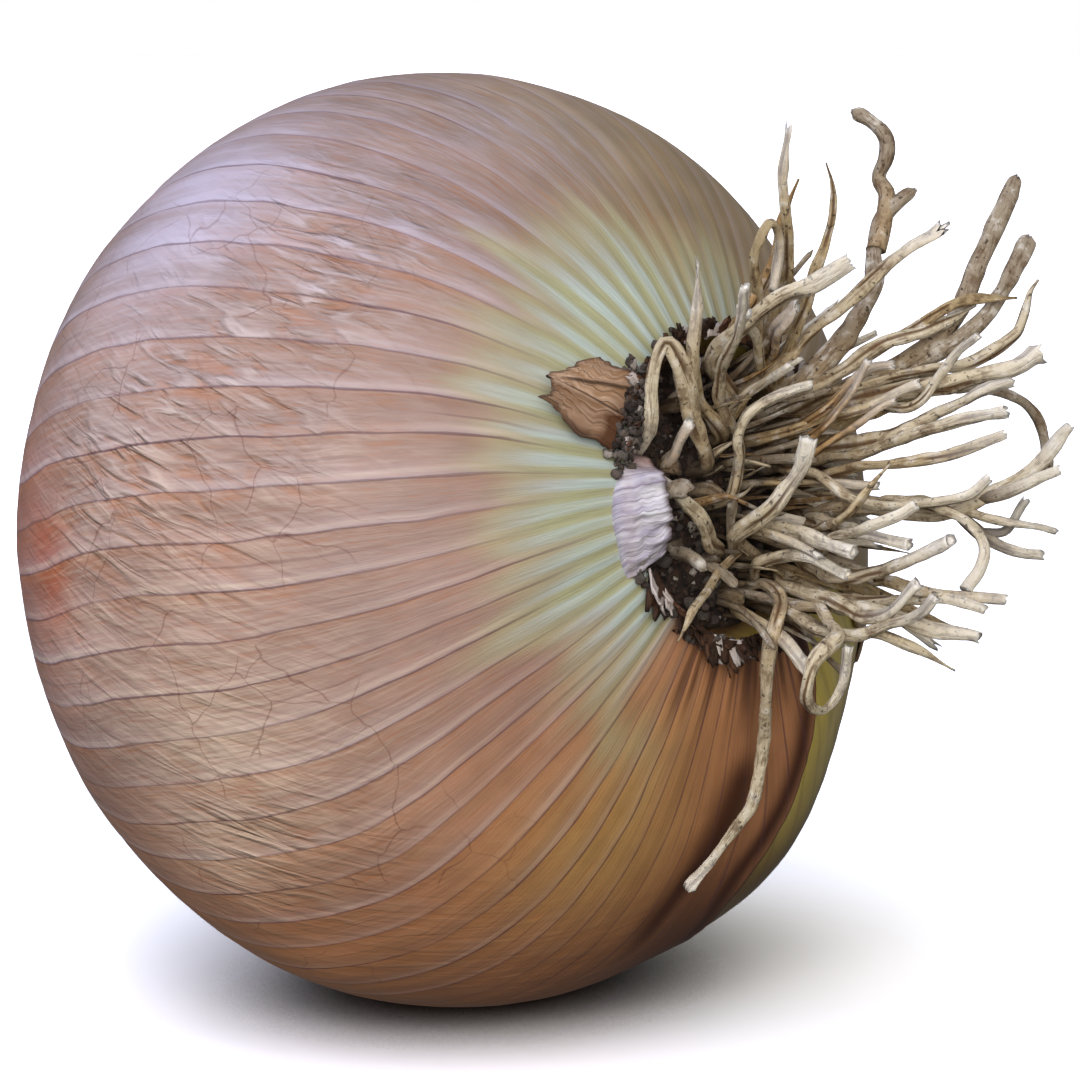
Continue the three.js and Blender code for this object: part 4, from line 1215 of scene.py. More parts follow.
@dataclass
class InnerBulb:
    """The bulb under the skin, with the olive scale that the split shows."""

    depth: float = 0.32
    hidden_depth: float = 0.7
    columns: int = 400
    rows: int = 130
    pocket_radius: float = 11.5
    pocket_floor: float = 28.2
    neck_pleats: int = 12
    finish: FleshScale = field(default_factory=FleshScale)

    def build(self) -> bpy.types.Object:
        """Builds the closed bulb, with its pleated neck and the root plate's pocket.

        Returns:
            The piece.
        """
        clock = np.linspace(-180.0, 180.0, self.columns, endpoint=False)[None, :]
        latitude = np.linspace(-90.0, 71.5, self.rows)[:, None]
        phase = VEINS.phase(clock, latitude, 91)
        turn = phase - np.round(phase)
        ribs = (0.03 + 0.15 * smooth(latitude, 48.0, 68.0)) * (0.5 - 0.5 * np.cos(2 * np.pi * turn))
        later = 28.0 * smooth(latitude, 26.0, 60.0)
        in_split = smooth(clock, 80.0 + later, 88.0 + later) * smooth(clock, 172.0, 160.0)
        points = SHAPE.point(latitude, clock, self.depth + self.hidden_depth * (1.0 - in_split) - ribs)
        neck = smooth(-latitude, 68.0, 84.0) + 0.0 * clock
        wander = 40.0 * Grain(92).at(flat_coordinates(clock, latitude), 30.0)
        pleat = 1.0 - 0.12 * neck * (1.0 - np.cos(np.radians(self.neck_pleats * clock + wander)))
        pleat = pleat + 0.03 * neck * np.sin(np.radians(3 * self.neck_pleats * clock + 2.0 * wander))
        points[..., :2] *= pleat[..., None]
        fray = 1.1 + 1.3 * Grain(93).layered(flat_coordinates(clock[0] * 0.35, 0.0), 4.0, 3)
        points[0, :, 2] += fray
        rim = SHAPE.point(90.0, 0.0, 0.0)
        pocket = np.zeros((2, self.columns, 3))
        for row, radius in enumerate((self.pocket_radius, 0.05)):
            pocket[row, :, 0] = radius * np.sin(np.radians(clock[0])) + rim[0]
            pocket[row, :, 1] = -radius * np.cos(np.radians(clock[0])) + rim[1]
            pocket[row, :, 2] = self.pocket_floor
        mouth = points[:1].copy()
        mouth[..., :2] *= 0.55
        mouth[..., 2] += 1.2
        hollow = mouth.copy()
        hollow[..., :2] *= 0.03
        hollow[..., 2] = SHAPE.neck_end + 4.0
        grid = np.concatenate([hollow, mouth, points, pocket])
        rows = grid.shape[0]

        def stacked(values: np.ndarray, low: float, high: float) -> np.ndarray:
            """A mark for every row of the grid, with values for the added rows."""
            ends = np.ones(self.columns)
            return np.concatenate([[ends * low] * 2, values + 0.0 * points[..., 0], [ends * high] * 2])

        marks = {
            "phase": stacked(phase, 0.0, 0.0),
            "ring": stacked(np.maximum(np.cos(np.radians(latitude)), 0.12), 0.2, 0.2),
            "along": stacked(np.radians(latitude) * SHAPE.half_length, -50.0, 30.0),
            "dry": stacked(neck, 1.0, 1.0),
            # Darker brown away from the root end, partly painted shade.
            "brown": stacked(0.9 * smooth(latitude, 52.0, 36.0) + 0.0 * clock, 1.0, 0.0),
        }
        faces = grid_faces(rows, self.columns, closed=True)
        piece = new_piece("inner_scale_and_neck", grid.reshape(-1, 3), faces, marks)
        piece.data.materials.append(self.finish.material())
        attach(piece, "root")
        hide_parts("bulb")
        return piece


@dataclass
class RootTuft:
    """The soil-crusted root plate and every root that grows from it."""

    spacing: float = 0.40
    sides: int = 14
    standing: float = 3.0
    clearance: float = 0.9
    fill_roots: int = 20
    fill_seed: int = 71
    hair_roots: int = 90
    side_roots: int = 34
    kink_spacing: float = 3.3
    crumbs: int = 1100
    rim_crumbs: int = 420
    mound_crumbs: int = 260
    root_finish: DriedRoot = field(default_factory=DriedRoot)
    soil_finish: SoilCrumb = field(default_factory=SoilCrumb)

    def fill(self) -> list[Root]:
        """The shorter roots between the named ones, by the solids' own rule.

        Returns:
            The roots.
        """
        draw = seeded_draw(self.fill_seed)
        roots = []
        for i in range(self.fill_roots):
            spread = (SHAPE.plate_radius - 1.4) * math.sqrt((i + 0.6) / self.fill_roots)
            angle = i * math.radians(137.508)
            foot = np.array([-1.0, spread * math.sin(angle), spread * math.cos(angle)])
            lean = np.array([0.0, foot[1] * 0.09, foot[2] * 0.09])
            lean[1] += 0.5 * draw() - 0.25
            lean[2] += 0.5 * draw()
            lean[2] = max(lean[2], -0.1)
            length = 8 + 11 * draw()
            route = []
            for share in (0, 0.3, 0.65, 1):
                sway = np.array([0.0, draw() - 0.5, draw() - 0.5]) * 2.4 * share
                point = foot + lean * (length * share * share) + sway
                point[0] += length * share * 0.95
                route.append(point.tolist())
            if foot[2] < -2.0:
                route = [(np.array(foot) + 0.5 * (np.array(point) - foot)).tolist() for point in route]
            girth = 0.9 + 0.4 * draw()
            tone = (Tone.TAN, Tone.CREAM, Tone.GREY, Tone.TAN, Tone.OCHRE)[i % 5]
            roots.append(Root(f"fill {i}", girth, route, tone, (Tip.CUT, Tip.POINTED, Tip.FRAYED)[i % 3]))
        return roots

    def hairs(self) -> list[Root]:
        """Thin broken rootlets that stand low between the others.

        Returns:
            The roots.
        """
        draw = seeded_draw(137)
        roots = []
        for i in range(self.hair_roots):
            spread = (SHAPE.plate_radius - 1.2) * math.sqrt((i + 0.5) / self.hair_roots)
            angle = i * math.radians(137.508) + 0.8
            foot = np.array([-1.0, spread * math.sin(angle), spread * math.cos(angle)])
            length = 3 + 6 * draw()
            lean = foot * [0.0, 0.05, 0.05] + [0.0, 0.7 * (draw() - 0.5), 0.7 * (draw() - 0.4)]
            lean[2] = max(lean[2], -0.15)
            middle = foot + [1.2 + length * 0.4, 0.0, 0.0] + lean * length * 0.3
            end = middle + [length * 0.5, 0.0, 0.0] + lean * length * 0.7
            tone = (Tone.TAN, Tone.GREY, Tone.OCHRE)[i % 3]
            route = [foot.tolist(), middle.tolist(), end.tolist()]
            girth = 0.35 + 0.3 * draw()
            if foot[2] > -3.0:
                roots.append(Root(f"rootlet {i}", girth, route, tone, Tip.POINTED))
        return roots

    def between(self) -> list[Root]:
        """Thinner side roots that curl between the main ones, nearer the plate.

        Returns:
            The roots.
        """
        draw = seeded_draw(173)
        roots = []
        for i in range(self.side_roots):
            spread = (SHAPE.plate_radius - 1.6) * math.sqrt((i + 0.4) / self.side_roots)
            angle = i * math.radians(137.508) + 2.1
            foot = np.array([-1.0, spread * math.sin(angle), spread * math.cos(angle)])
            length = 7 + 8 * draw()
            lean = foot * [0.0, 0.07, 0.07] + [0.0, 0.5 * (draw() - 0.5), 0.5 * (draw() - 0.3)]
            lean[2] = max(lean[2], -0.08)
            curl = np.array([0.0, draw() - 0.5, draw() - 0.5]) * 5.0
            route = [foot.tolist()]
            for share in (0.35, 0.7, 1.0):
                point = foot + lean * length * share + curl * share * share
                point[0] += length * (share - 0.25 * share * share)
                route.append(point.tolist())
            tone = (Tone.CREAM, Tone.TAN, Tone.GREY, Tone.CREAM)[i % 4]
            tip = (Tip.POINTED, Tip.FRAYED, Tip.CUT)[i % 3]
            girth = 0.62 + 0.3 * draw()
            if foot[2] > -1.0:
                roots.append(Root(f"rootlet side {i}", girth, route, tone, tip))
        return roots

    def path(self, root: Root, seed: int) -> np.ndarray:
        """A root's route with the small kinks of a dried root.

        Args:
            root: The root.
            seed: Sets its kinks apart from those of others.

        Returns:
            Points along it, in mm.
        """
        route = [list(point) for point in root.route]
        if route[0][0] < 0 and not root.name.startswith("rootlet"):
            route.insert(1, [route[0][0] + self.standing, route[0][1], route[0][2]])
        points = np.array([self.bent_clear(point, root.girth) for point in SHAPE.from_plate(route)])
        path = centripetal_curve(points, self.spacing)
        share = np.linspace(0.0, 1.0, len(path))
        run = np.arange(len(path)) * self.spacing
        ramp = smooth(share, 0.0, 0.25)
        draw = seeded_draw(seed * 17 + 3)
        bends = np.arange(0.0, run[-1] + 2 * self.kink_spacing, self.kink_spacing)
        for axis in range(3):
            sharp = np.interp(run, bends + 0.8 * draw(), [draw() - 0.5 for _ in bends])
            sharp = np.convolve(np.pad(sharp, 1, "edge"), [0.25, 0.5, 0.25], "valid")
            slow = Grain(seed * 7 + axis).at(flat_coordinates(run, 0.5), 4.2)
            path[:, axis] += (0.75 * sharp + 0.22 * slow) * ramp * (0.35 if root.tone is Tone.GREY else 1.0)
        return path

    def bent_clear(self, point: np.ndarray, girth: float) -> np.ndarray:
        """Moves a point of a root outward where it would touch the skin, as in the solids.

        Args:
            point: A point of its route, in mm.
            girth: The root's thickness, in mm.

        Returns:
            The point, moved where that is needed.
        """
        if math.hypot(point[0] + SHAPE.plate_up, point[1] + SHAPE.plate_near) < SHAPE.plate_radius:
            return point
        wanted = self.clearance + girth / 2 + 0.5
        reach = math.hypot(math.hypot(point[0], point[1]) / (SHAPE.radius + wanted),
                           point[2] / (SHAPE.half_length + wanted))
        return point / reach if reach < 1 else point

    def girth_along(self, root: Root, share: np.ndarray, run: np.ndarray, seed: int) -> np.ndarray:
        """A root's radius along its length, with its swellings and its kind of tip.

        Args:
            root: The root.
            share: Place along it, from 0 to 1.
            run: The same in mm.
            seed: Sets its swellings.

        Returns:
            The radius at each place, in mm.
        """
        radius = root.girth / 2 * (1.0 - 0.22 * share)
        radius = radius * (1.0 + 0.16 * Grain(seed + 500).at(flat_coordinates(run, 0.0), 2.4))
        to_tip = run[-1] - run
        if root.tone is Tone.GREY:
            return radius * np.sqrt(1.0 - 0.97 * np.clip(1.0 - to_tip / (0.5 * root.girth), 0, 1) ** 2)
        if root.tip is Tip.POINTED:
            radius = radius * (0.25 + 0.75 * smooth(to_tip, 0.0, 4.0))
        elif root.tip is Tip.FLARED:
            radius = radius * (1.0 + 0.45 * smooth(to_tip, 2.6, 0.0))
        elif root.tip is Tip.FRAYED:
            radius = radius * (1.0 + 0.2 * smooth(to_tip, 1.4, 0.0))
        return radius

    def tube(self, root: Root, seed: int) -> tuple[np.ndarray, list, dict]:
        """Builds one root.

        Args:
            root: What to build.
            seed: Sets its kinks and grooves apart from the others.

        Returns:
            Its points, its faces and its marks.
        """
        path = self.path(root, seed)
        first_side, second_side = carried_frames(path)
        count = len(path)
        sides = 8 if root.girth < 0.7 else self.sides
        share = np.linspace(0.0, 1.0, count)
        run = np.arange(count) * self.spacing
        radius = self.girth_along(root, share, run, seed)
        around = np.linspace(0.0, 2 * np.pi, sides, endpoint=False)[None, :]
        twist = run[:, None] * 0.12 + seed
        flat = 0.13 + 0.09 * Grain(seed + 800).at(flat_coordinates(run, 0.5), 5.0)[:, None]
        shrivel = 1.0 + flat * np.cos(2 * around + twist) + 0.06 * np.cos(3 * around - 0.7 * twist)
        groove = np.zeros((count, sides))
        for part, start in enumerate((0.4, 2.7, 4.5)):
            wander = Grain(seed + 820 + part).at(flat_coordinates(run, 0.5), 6.0)
            middle_line = start + seed + 0.9 * wander[:, None]
            away = np.angle(np.exp(1j * (around - middle_line)))
            depth = smooth(Grain(seed + 840 + part).at(flat_coordinates(run, 0.5), 3.5), -0.3, 0.4)[:, None]
            depth = depth * (0.25 if root.tone is Tone.GREY else 1.0)
            groove = np.maximum(groove, depth * np.exp(-(away / 0.42) ** 2))
        knobs = Grain(seed + 900).at(
            np.stack(np.broadcast_arrays(np.cos(around) * 1.2, np.sin(around) * 1.2, run[:, None] / 1.1), axis=-1),
            1.0)
        spread = radius[:, None] * (shrivel + 0.14 * knobs - 0.34 * groove)
        rings = (path[:, None, :] + spread[..., None] * (
            first_side[:, None, :] * np.cos(around)[..., None]
            + second_side[:, None, :] * np.sin(around)[..., None]))
        if root.tip is Tip.FRAYED:
            squash = 1.0 - 0.62 * smooth(run[-1] - run, 3.2, 0.6)[:, None, None]
            rings = path[:, None, :] + (rings - path[:, None, :]) * squash + (
                first_side[:, None, :] * (np.cos(around) * spread)[..., None] * (1.25 - squash))
        tangent = path[-1] - path[-2]
        tangent = tangent / np.linalg.norm(tangent)
        if root.tip in (Tip.FRAYED, Tip.FLARED, Tip.CUT):
            ragged = {Tip.FRAYED: 1.3, Tip.FLARED: 0.6, Tip.CUT: 0.25}[root.tip]
            draws = Grain(seed + 40).at(flat_coordinates(np.arange(sides) * 1.7, 0.3), 1.0)
            rings[-1] += (ragged * draws)[:, None] * tangent
        inner = path[-1] + (rings[-1] - path[-1]) * 0.55 - tangent * 0.12
        middle = path[-1] - tangent * 0.3
        points = np.concatenate([rings.reshape(-1, 3), inner, [middle], [path[0]]])
        faces = grid_faces(count, sides, closed=True)
        last = (count - 1) * sides
        inner_start = count * sides
        tip_point, foot_point = inner_start + sides, inner_start + sides + 1
        for i in range(sides):
            after = (i + 1) % sides
            faces.append([last + i, last + after, inner_start + after, inner_start + i])
            faces.append([inner_start + i, inner_start + after, tip_point])
            faces.append([after, i, foot_point])
        grid = np.ones((count, sides))
        draws = seeded_draw(seed * 31 + 5)
        shade = draws()
        tones = {Tone.CREAM: 0.05 + 0.4 * shade, Tone.TAN: 0.5 + 0.5 * shade, Tone.OCHRE: 0.8, Tone.GREY: 0.6}
        tone = tones[root.tone]
        height = np.maximum(run[:, None] - 1.2, 0.0) * grid
        dirt = Grain(seed + 70).at(rings, 1.6)
        # A root that branches from another one has no soil at its foot.
        at_foot = 0.0 if "crooked" in root.name else 0.85 * smooth(height, 6.0, 0.0)
        soiled = np.clip(at_foot + 0.5 * smooth(dirt, 0.35, 0.8) * smooth(height, 14.0, 2.0), 0, 0.9)
        cut_share = 1.0 if root.tip is not Tip.POINTED else 0.0
        to_tip = run[-1] - run
        cut = (0.45 * smooth(to_tip, 0.5, 0.0) + 0.4 * smooth(to_tip, 7.0, 1.0))[:, None] * grid * cut_share
        cut = cut * (0.0 if root.tone is Tone.GREY else 1.0)
        browned = smooth(run / run[-1], 0.75, 0.15)[:, None] * grid * 0.6

        def whole(values: np.ndarray, cap: float, foot: float) -> np.ndarray:
            """A mark for the grid, the tip's face and the foot's middle."""
            return np.concatenate([np.ravel(values * grid), np.full(sides + 1, cap), [foot]])

        marks = {
            "along": whole(run[:, None], run[-1], 0.0),
            "around": whole(0.5 - 0.5 * np.cos(around + twist * 0.2), 0.5, 0.5),
            "tone": whole(grid * tone, tone, tone),
            "ochre": whole(grid * (0.75 if root.tone is Tone.OCHRE else 0.0), 0.0, 0.0),
            "grey": whole(grid * (0.65 if root.tone is Tone.GREY else 0.0), 0.0, 0.0),
            "soiled": whole(soiled, 0.0, 1.0),
            "cut": whole(cut, 0.8 * cut_share, 0.0),
            "draw": whole(grid * shade * 40.0, 0.0, 0.0),
            "groove": whole(groove, 0.0, 0.0),
            "browned": whole(browned, 0.0, 0.6),
        }
        return points, faces, marks

    def build_roots(self) -> bpy.types.Object:
        """Builds every root as one mesh.

        Returns:
            The piece.
        """
        points, faces, marks = [], [], {}
        start = 0
        for seed, root in enumerate(NAMED_ROOTS + self.fill() + self.hairs() + self.between()):
            some_points, some_faces, some_marks = self.tube(root, seed + 1)
            points.append(some_points)
            faces += [[start + i for i in face] for face in some_faces]
            for name, values in some_marks.items():
                marks.setdefault(name, []).append(values)
            start += len(some_points)
        joined = {name: np.concatenate(values) for name, values in marks.items()}
        piece = new_piece("dried_roots", np.concatenate(points), faces, joined)
        piece.data.materials.append(self.root_finish.material())
        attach(piece, "root")
        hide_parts("root_tuft")
        return piece

    def plate_height(self, up: np.ndarray, far: np.ndarray) -> np.ndarray:
        """Height of the caked plate over its plane."""
        reach = np.hypot(up, far) / SHAPE.plate_radius
        lumps = Grain(101).layered(flat_coordinates(up, far), 2.6, 4)
        return -0.3 + 1.1 * (1.0 - reach ** 2) + 0.42 * lumps * smooth(reach, 1.0, 0.85)

    def build_soil(self) -> bpy.types.Object:
        """Builds the plate's caked dome and the crumbs that stick to it.

        Returns:
            The piece.
        """
        columns, rows = 90, 34
        angle = np.linspace(0.0, 2 * np.pi, columns, endpoint=False)[None, :]
        reach = np.linspace(1.0, 0.002, rows)[:, None] * SHAPE.plate_radius
        up, far = reach * np.sin(angle), reach * np.cos(angle)
        top = np.stack([self.plate_height(up, far), up, far], axis=-1)
        side = top[:1].copy()
        side[..., 0] = -1.7
        foot = side * [1.0, 0.001, 0.001]
        dome = np.concatenate([foot, side, top])
        points = [SHAPE.from_plate(dome.reshape(-1, 3).tolist())]
        faces = grid_faces(rows + 2, columns, closed=True)
        light = [np.zeros(len(points[0]))]
        template = bpy.data.meshes.new("crumb")
        maker = bmesh.new()
        bmesh.ops.create_icosphere(maker, subdivisions=2, radius=1.0)
        maker.to_mesh(template)
        maker.free()
        corners = np.array([v.co[:] for v in template.vertices])
        corner_faces = [list(p.vertices) for p in template.polygons]
        bpy.data.meshes.remove(template)
        draw = seeded_draw(211)
        start = len(points[0])
        for i in range(self.crumbs):
            angle_at, reach_at = 2 * math.pi * draw(), (SHAPE.plate_radius - 0.3) * math.sqrt(draw())
            up_at, far_at = reach_at * math.sin(angle_at), reach_at * math.cos(angle_at)
            size = 0.12 + 0.36 * draw() ** 2.5
            out_at = float(self.plate_height(np.array(up_at), np.array(far_at))) + size * 0.35
            rough = 1.0 + 0.75 * Grain(300 + i % 17).layered(corners * 2.0 + i, 1.3, 2)
            crumb = corners * rough[:, None] * size * [0.8, 1.0, 1.0 + 0.4 * draw()]
            points.append(SHAPE.from_plate((crumb + [out_at, up_at, far_at]).tolist()))
            faces += [[start + k for k in face] for face in corner_faces]
            tint = draw()
            light.append(np.full(len(corners), 0.85 if tint > 0.93 else 0.25 * tint ** 3))
            start += len(corners)
        for i in range(self.rim_crumbs + self.mound_crumbs):
            size = 0.10 + 0.30 * draw() ** 2
            latitude = 72.6 - 2.2 * draw() ** 2
            around, rise = 360.0 * draw(), 0.2
            if i >= self.rim_crumbs:
                latitude = 72.8 - 4.0 * draw()
                around = -33.0 + 34.0 * (draw() - 0.5)
                rise = 0.1 + 1.5 * draw() * smooth(latitude, 68.4, 71.5)
            rough = 1.0 + 0.8 * Grain(330 + i % 13).layered(corners * 2.0 + i, 1.3, 2)
            middle = SHAPE.point(np.array(latitude), np.array(around), np.array(-rise - size * 0.4))
            points.append(corners * rough[:, None] * size + middle)
            faces += [[start + k for k in face] for face in corner_faces]
            light.append(np.full(len(corners), 0.8 if draw() > 0.9 else 0.3 * draw()))
            start += len(corners)
        piece = new_piece("soil_on_plate", np.concatenate(points), faces, {"light": np.concatenate(light)})
        piece.data.materials.append(self.soil_finish.material())
        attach(piece, "root")
        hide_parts("root_tuft")
        return piece


def closed_sheet(low: np.ndarray, thickness: float) -> tuple[np.ndarray, list]:
    """Gives a grid of places a thickness.

    Args:
        low: A grid of points on the lower face.
        thickness: Millimetres.

    Returns:
        All points, and the faces of the closed sheet.
    """
    rows, columns = low.shape[:2]
    normal = np.cross(np.gradient(low, axis=0), np.gradient(low, axis=1))
    normal /= np.maximum(np.linalg.norm(normal, axis=-1, keepdims=True), 1e-9)
    high = low + normal * thickness
    numbers = np.arange(rows * columns).reshape(rows, columns)
    border = np.concatenate([numbers[0, :-1], numbers[:-1, -1], numbers[-1, :0:-1], numbers[:0:-1, 0]])
    top = rows * columns
    faces = grid_faces(rows, columns) + [face[::-1] for face in grid_faces(rows, columns, start=top)]
    after = np.roll(border, -1)
    faces += np.stack([border, border + top, after + top, after], axis=-1).tolist()
    return np.concatenate([low.reshape(-1, 3), high.reshape(-1, 3)]), faces


@dataclass
class TornScales:
    """The torn bases of older scales round the root plate."""

    thickness: float = 0.16
    brown_corners: tuple = ((-18.0, 69.6), (-46.0, 71.2), (-25.0, 58.4), (-35.5, 61.9))
    pale_first_clock: float = -19.0
    pale_last_clock: float = 27.0
    pale_height: float = 4.8
    flakes: int = 170

    def scrap(self, name: str, node: str, finish: TornScale, sheets: list) -> bpy.types.Object:
        """Builds one piece from sheets.

        Args:
            name: The piece's name.
            node: The solid that it stands for.
            finish: Its finish.
            sheets: Pairs of a grid of points and the marks of that grid.

        Returns:
            The new piece.
        """
        points, faces, marks, start = [], [], {}, 0
        for low, own_marks in sheets:
            some_points, some_faces = closed_sheet(low, self.thickness)
            run_across = np.cumsum(np.linalg.norm(np.gradient(low, axis=1), axis=-1), axis=1)
            run_along = np.cumsum(np.linalg.norm(np.gradient(low, axis=0), axis=-1), axis=0)
            for mark, values in {"across": run_across, "along": run_along, **own_marks}.items():
                values = np.broadcast_to(values, low.shape[:2]).ravel()
                marks.setdefault(mark, []).append(np.concatenate([values, values]))
            points.append(some_points)
            faces += [[start + i for i in face] for face in some_faces]
            start += len(some_points)
        joined = {mark: np.concatenate(values) for mark, values in marks.items()}
        piece = new_piece(name, np.concatenate(points), faces, joined)
        piece.data.materials.append(finish.material())
        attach(piece, "root")
        if node:
            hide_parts(node)
        return piece

    def brown(self) -> bpy.types.Object:
        """The brown scrap that lies back over the skin: a folded strip and a flat fan.

        Returns:
            The piece.
        """
        near_foot, far_foot, near_tip, far_tip = (np.array(corner) for corner in self.brown_corners)
        u = np.linspace(0.0, 1.0, 64)[:, None]
        v = np.linspace(0.0, 1.0, 64)[None, :]
        ragged = Grain(121).layered(flat_coordinates(v * 7.0, u * 2.5), 1.0, 4)
        foot = near_foot + (far_foot - near_foot) * v[..., None]
        tip = near_tip + (far_tip - near_tip) * v[..., None]
        place = foot + (tip - foot) * (u * (1.0 + 0.10 * ragged - 0.06 * np.sin(9.0 * v)))[..., None]
        place[..., 0] += 1.6 * ragged * smooth(np.abs(v - 0.5), 0.3, 0.5)
        first_fold = bump(v, 0.36 + 0.06 * u, 0.045)
        second_fold = bump(v, 0.80 - 0.25 * u, 0.035) * smooth(u, 0.95, 0.7)
        cup = 0.5 * np.sin(np.pi * np.clip(v / 0.36, 0, 1))
        cup = cup + 0.25 * np.sin(np.pi * np.clip((v - 0.36) / 0.64, 0, 1))
        raised = 0.75 + 1.15 * u ** 1.3 + cup * (0.4 + 0.6 * u)
        raised = raised + 0.55 * first_fold + 0.3 * second_fold + 0.10 * ragged
        low = SHAPE.point(place[..., 1], place[..., 0], -raised)
        rim = smooth(np.minimum(np.minimum(v, 1 - v), 1 - u), 0.05, 0.0) * 0.7
        beside_fold = bump(v, 0.40 + 0.06 * u, 0.03)
        beside_fold = beside_fold + 0.8 * bump(v, 0.77 - 0.25 * u, 0.025) * smooth(u, 0.95, 0.7)
        darker = 0.9 * smooth(v, 0.42, 0.30) * (0.5 + 0.5 * smooth(ragged, -0.3, 0.5))
        darker = darker + 0.7 * smooth(u, 0.3, 0.0) + 0.4 * smooth(v, 0.75, 1.0)
        edge = np.clip(rim + beside_fold, 0.0, 1.0)
        finish = TornScale("dead brown onion scale", "d0b198", "98724f", "2c1a12", dark_part="583822")
        sheets = [(low, {"edge": edge, "darker": darker})]
        return self.scrap("torn_brown_scale", "brown_scale_flap", finish, sheets)

    def pale(self) -> bpy.types.Object:
        """The pale scrap: a cupped shell that bulges over the rim and leans in over the plate.

        Returns:
            The piece.
        """
        u = np.linspace(0.0, 1.0, 54)[:, None]
        v = np.linspace(0.0, 1.0, 84)[None, :]
        ragged = Grain(131).layered(flat_coordinates(v * 9.0, u * 2.0), 1.0, 4)
        clock = np.radians(self.pale_first_clock + (self.pale_last_clock - self.pale_first_clock) * v)
        height = self.pale_height * (np.sin(np.pi * np.clip(0.10 + 0.86 * v, 0, 1)) ** 0.55 + 0.12 * ragged)
        out = -0.5 + height * u
        belly = 0.45 + 0.55 * smooth(v, 0.0, 0.55)
        bulge = (2.9 * np.sin(np.pi * np.clip(0.16 + 0.8 * u, 0, 1))) * belly - 0.9 * u ** 3
        radius = SHAPE.plate_radius + 0.1 + bulge + 0.07 * np.sin(v * 23 + 3 * u) * u + 0.25 * ragged * u
        up, far = -radius * np.sin(clock), -radius * np.cos(clock)
        grid = np.stack(np.broadcast_arrays(out, up, far), axis=-1)
        low = SHAPE.from_plate(grid.reshape(-1, 3).tolist()).reshape(grid.shape)
        edge = smooth(np.minimum(np.minimum(v, 1 - v), 1 - u), 0.06, 0.0) * 0.8
        darker = np.clip(smooth(v, 0.24, 0.05) * smooth(u, 0.35, 0.9) + 0.55 * smooth(u, 0.22, 0.0)
                         + 0.3 * bump(u + 0.1 * ragged, 0.62, 0.10) + 0.5 * smooth(v, 0.9, 1.0), 0, 1)
        finish = TornScale("dead pale onion scale", "dad8dc", "958ca0", "55423e", "8a6656", fibre_mm=0.5)
        sheets = [(low, {"edge": edge, "darker": darker})]
        return self.scrap("torn_pale_scale", "pale_scale_flap", finish, sheets)

    def rim(self) -> bpy.types.Object:
        """Small ragged flakes of dead scale all round the plate, some turned up.

        Returns:
            The piece.
        """
        draw = seeded_draw(401)
        sheets = []
        u = np.linspace(0.0, 1.0, 8)[:, None]
        v = np.linspace(0.0, 1.0, 8)[None, :]
        for i in range(self.flakes):
            clock = 360.0 * (i + draw()) / self.flakes - 180.0
            width, length = 0.7 + 2.4 * draw() ** 1.6, 0.7 + 1.3 * draw() ** 1.4
            turned_up, lean = draw() ** 1.5, 1.4 * (draw() - 0.5)
            if self.pale_first_clock - 2.0 < clock < self.pale_last_clock + 2.0:
                continue
            start = 72.9 - 0.8 * draw()
            ragged = Grain(500 + i).layered(flat_coordinates(v * 3.0, u * 1.5), 1.0, 3)
            side = (v - 0.5) * width * (1.0 - 0.45 * u) + lean * u + 0.35 * ragged * u
            reach = length * u * (1.0 + 0.5 * ragged) * (1.0 - 0.75 * turned_up * u)
            raised = 0.22 + (0.25 + 1.5 * turned_up) * length * 0.6 * u + 0.35 * ragged * u + 0.25 * draw()
            low = SHAPE.point(start - reach / 0.66, clock + side * 4.6, -raised)
            edge = smooth(np.minimum(np.minimum(v, 1 - v), 1 - u), 0.16, 0.0) * 0.6
            pale_flake = draw() > 0.86
            shade = 1.0 if draw() > 0.35 else 0.35
            marks = {"edge": 0.0 * edge if pale_flake else edge, "darker": 0.0 if pale_flake else shade,
                     "white": 0.8 if pale_flake else 0.0}
            sheets.append((low, marks))
        finish = TornScale("dead crusted onion scale", "8f664a", "6a4530", "1f140e", dark_part="251912")
        return self.scrap("torn_rim_flakes", "", finish, sheets)


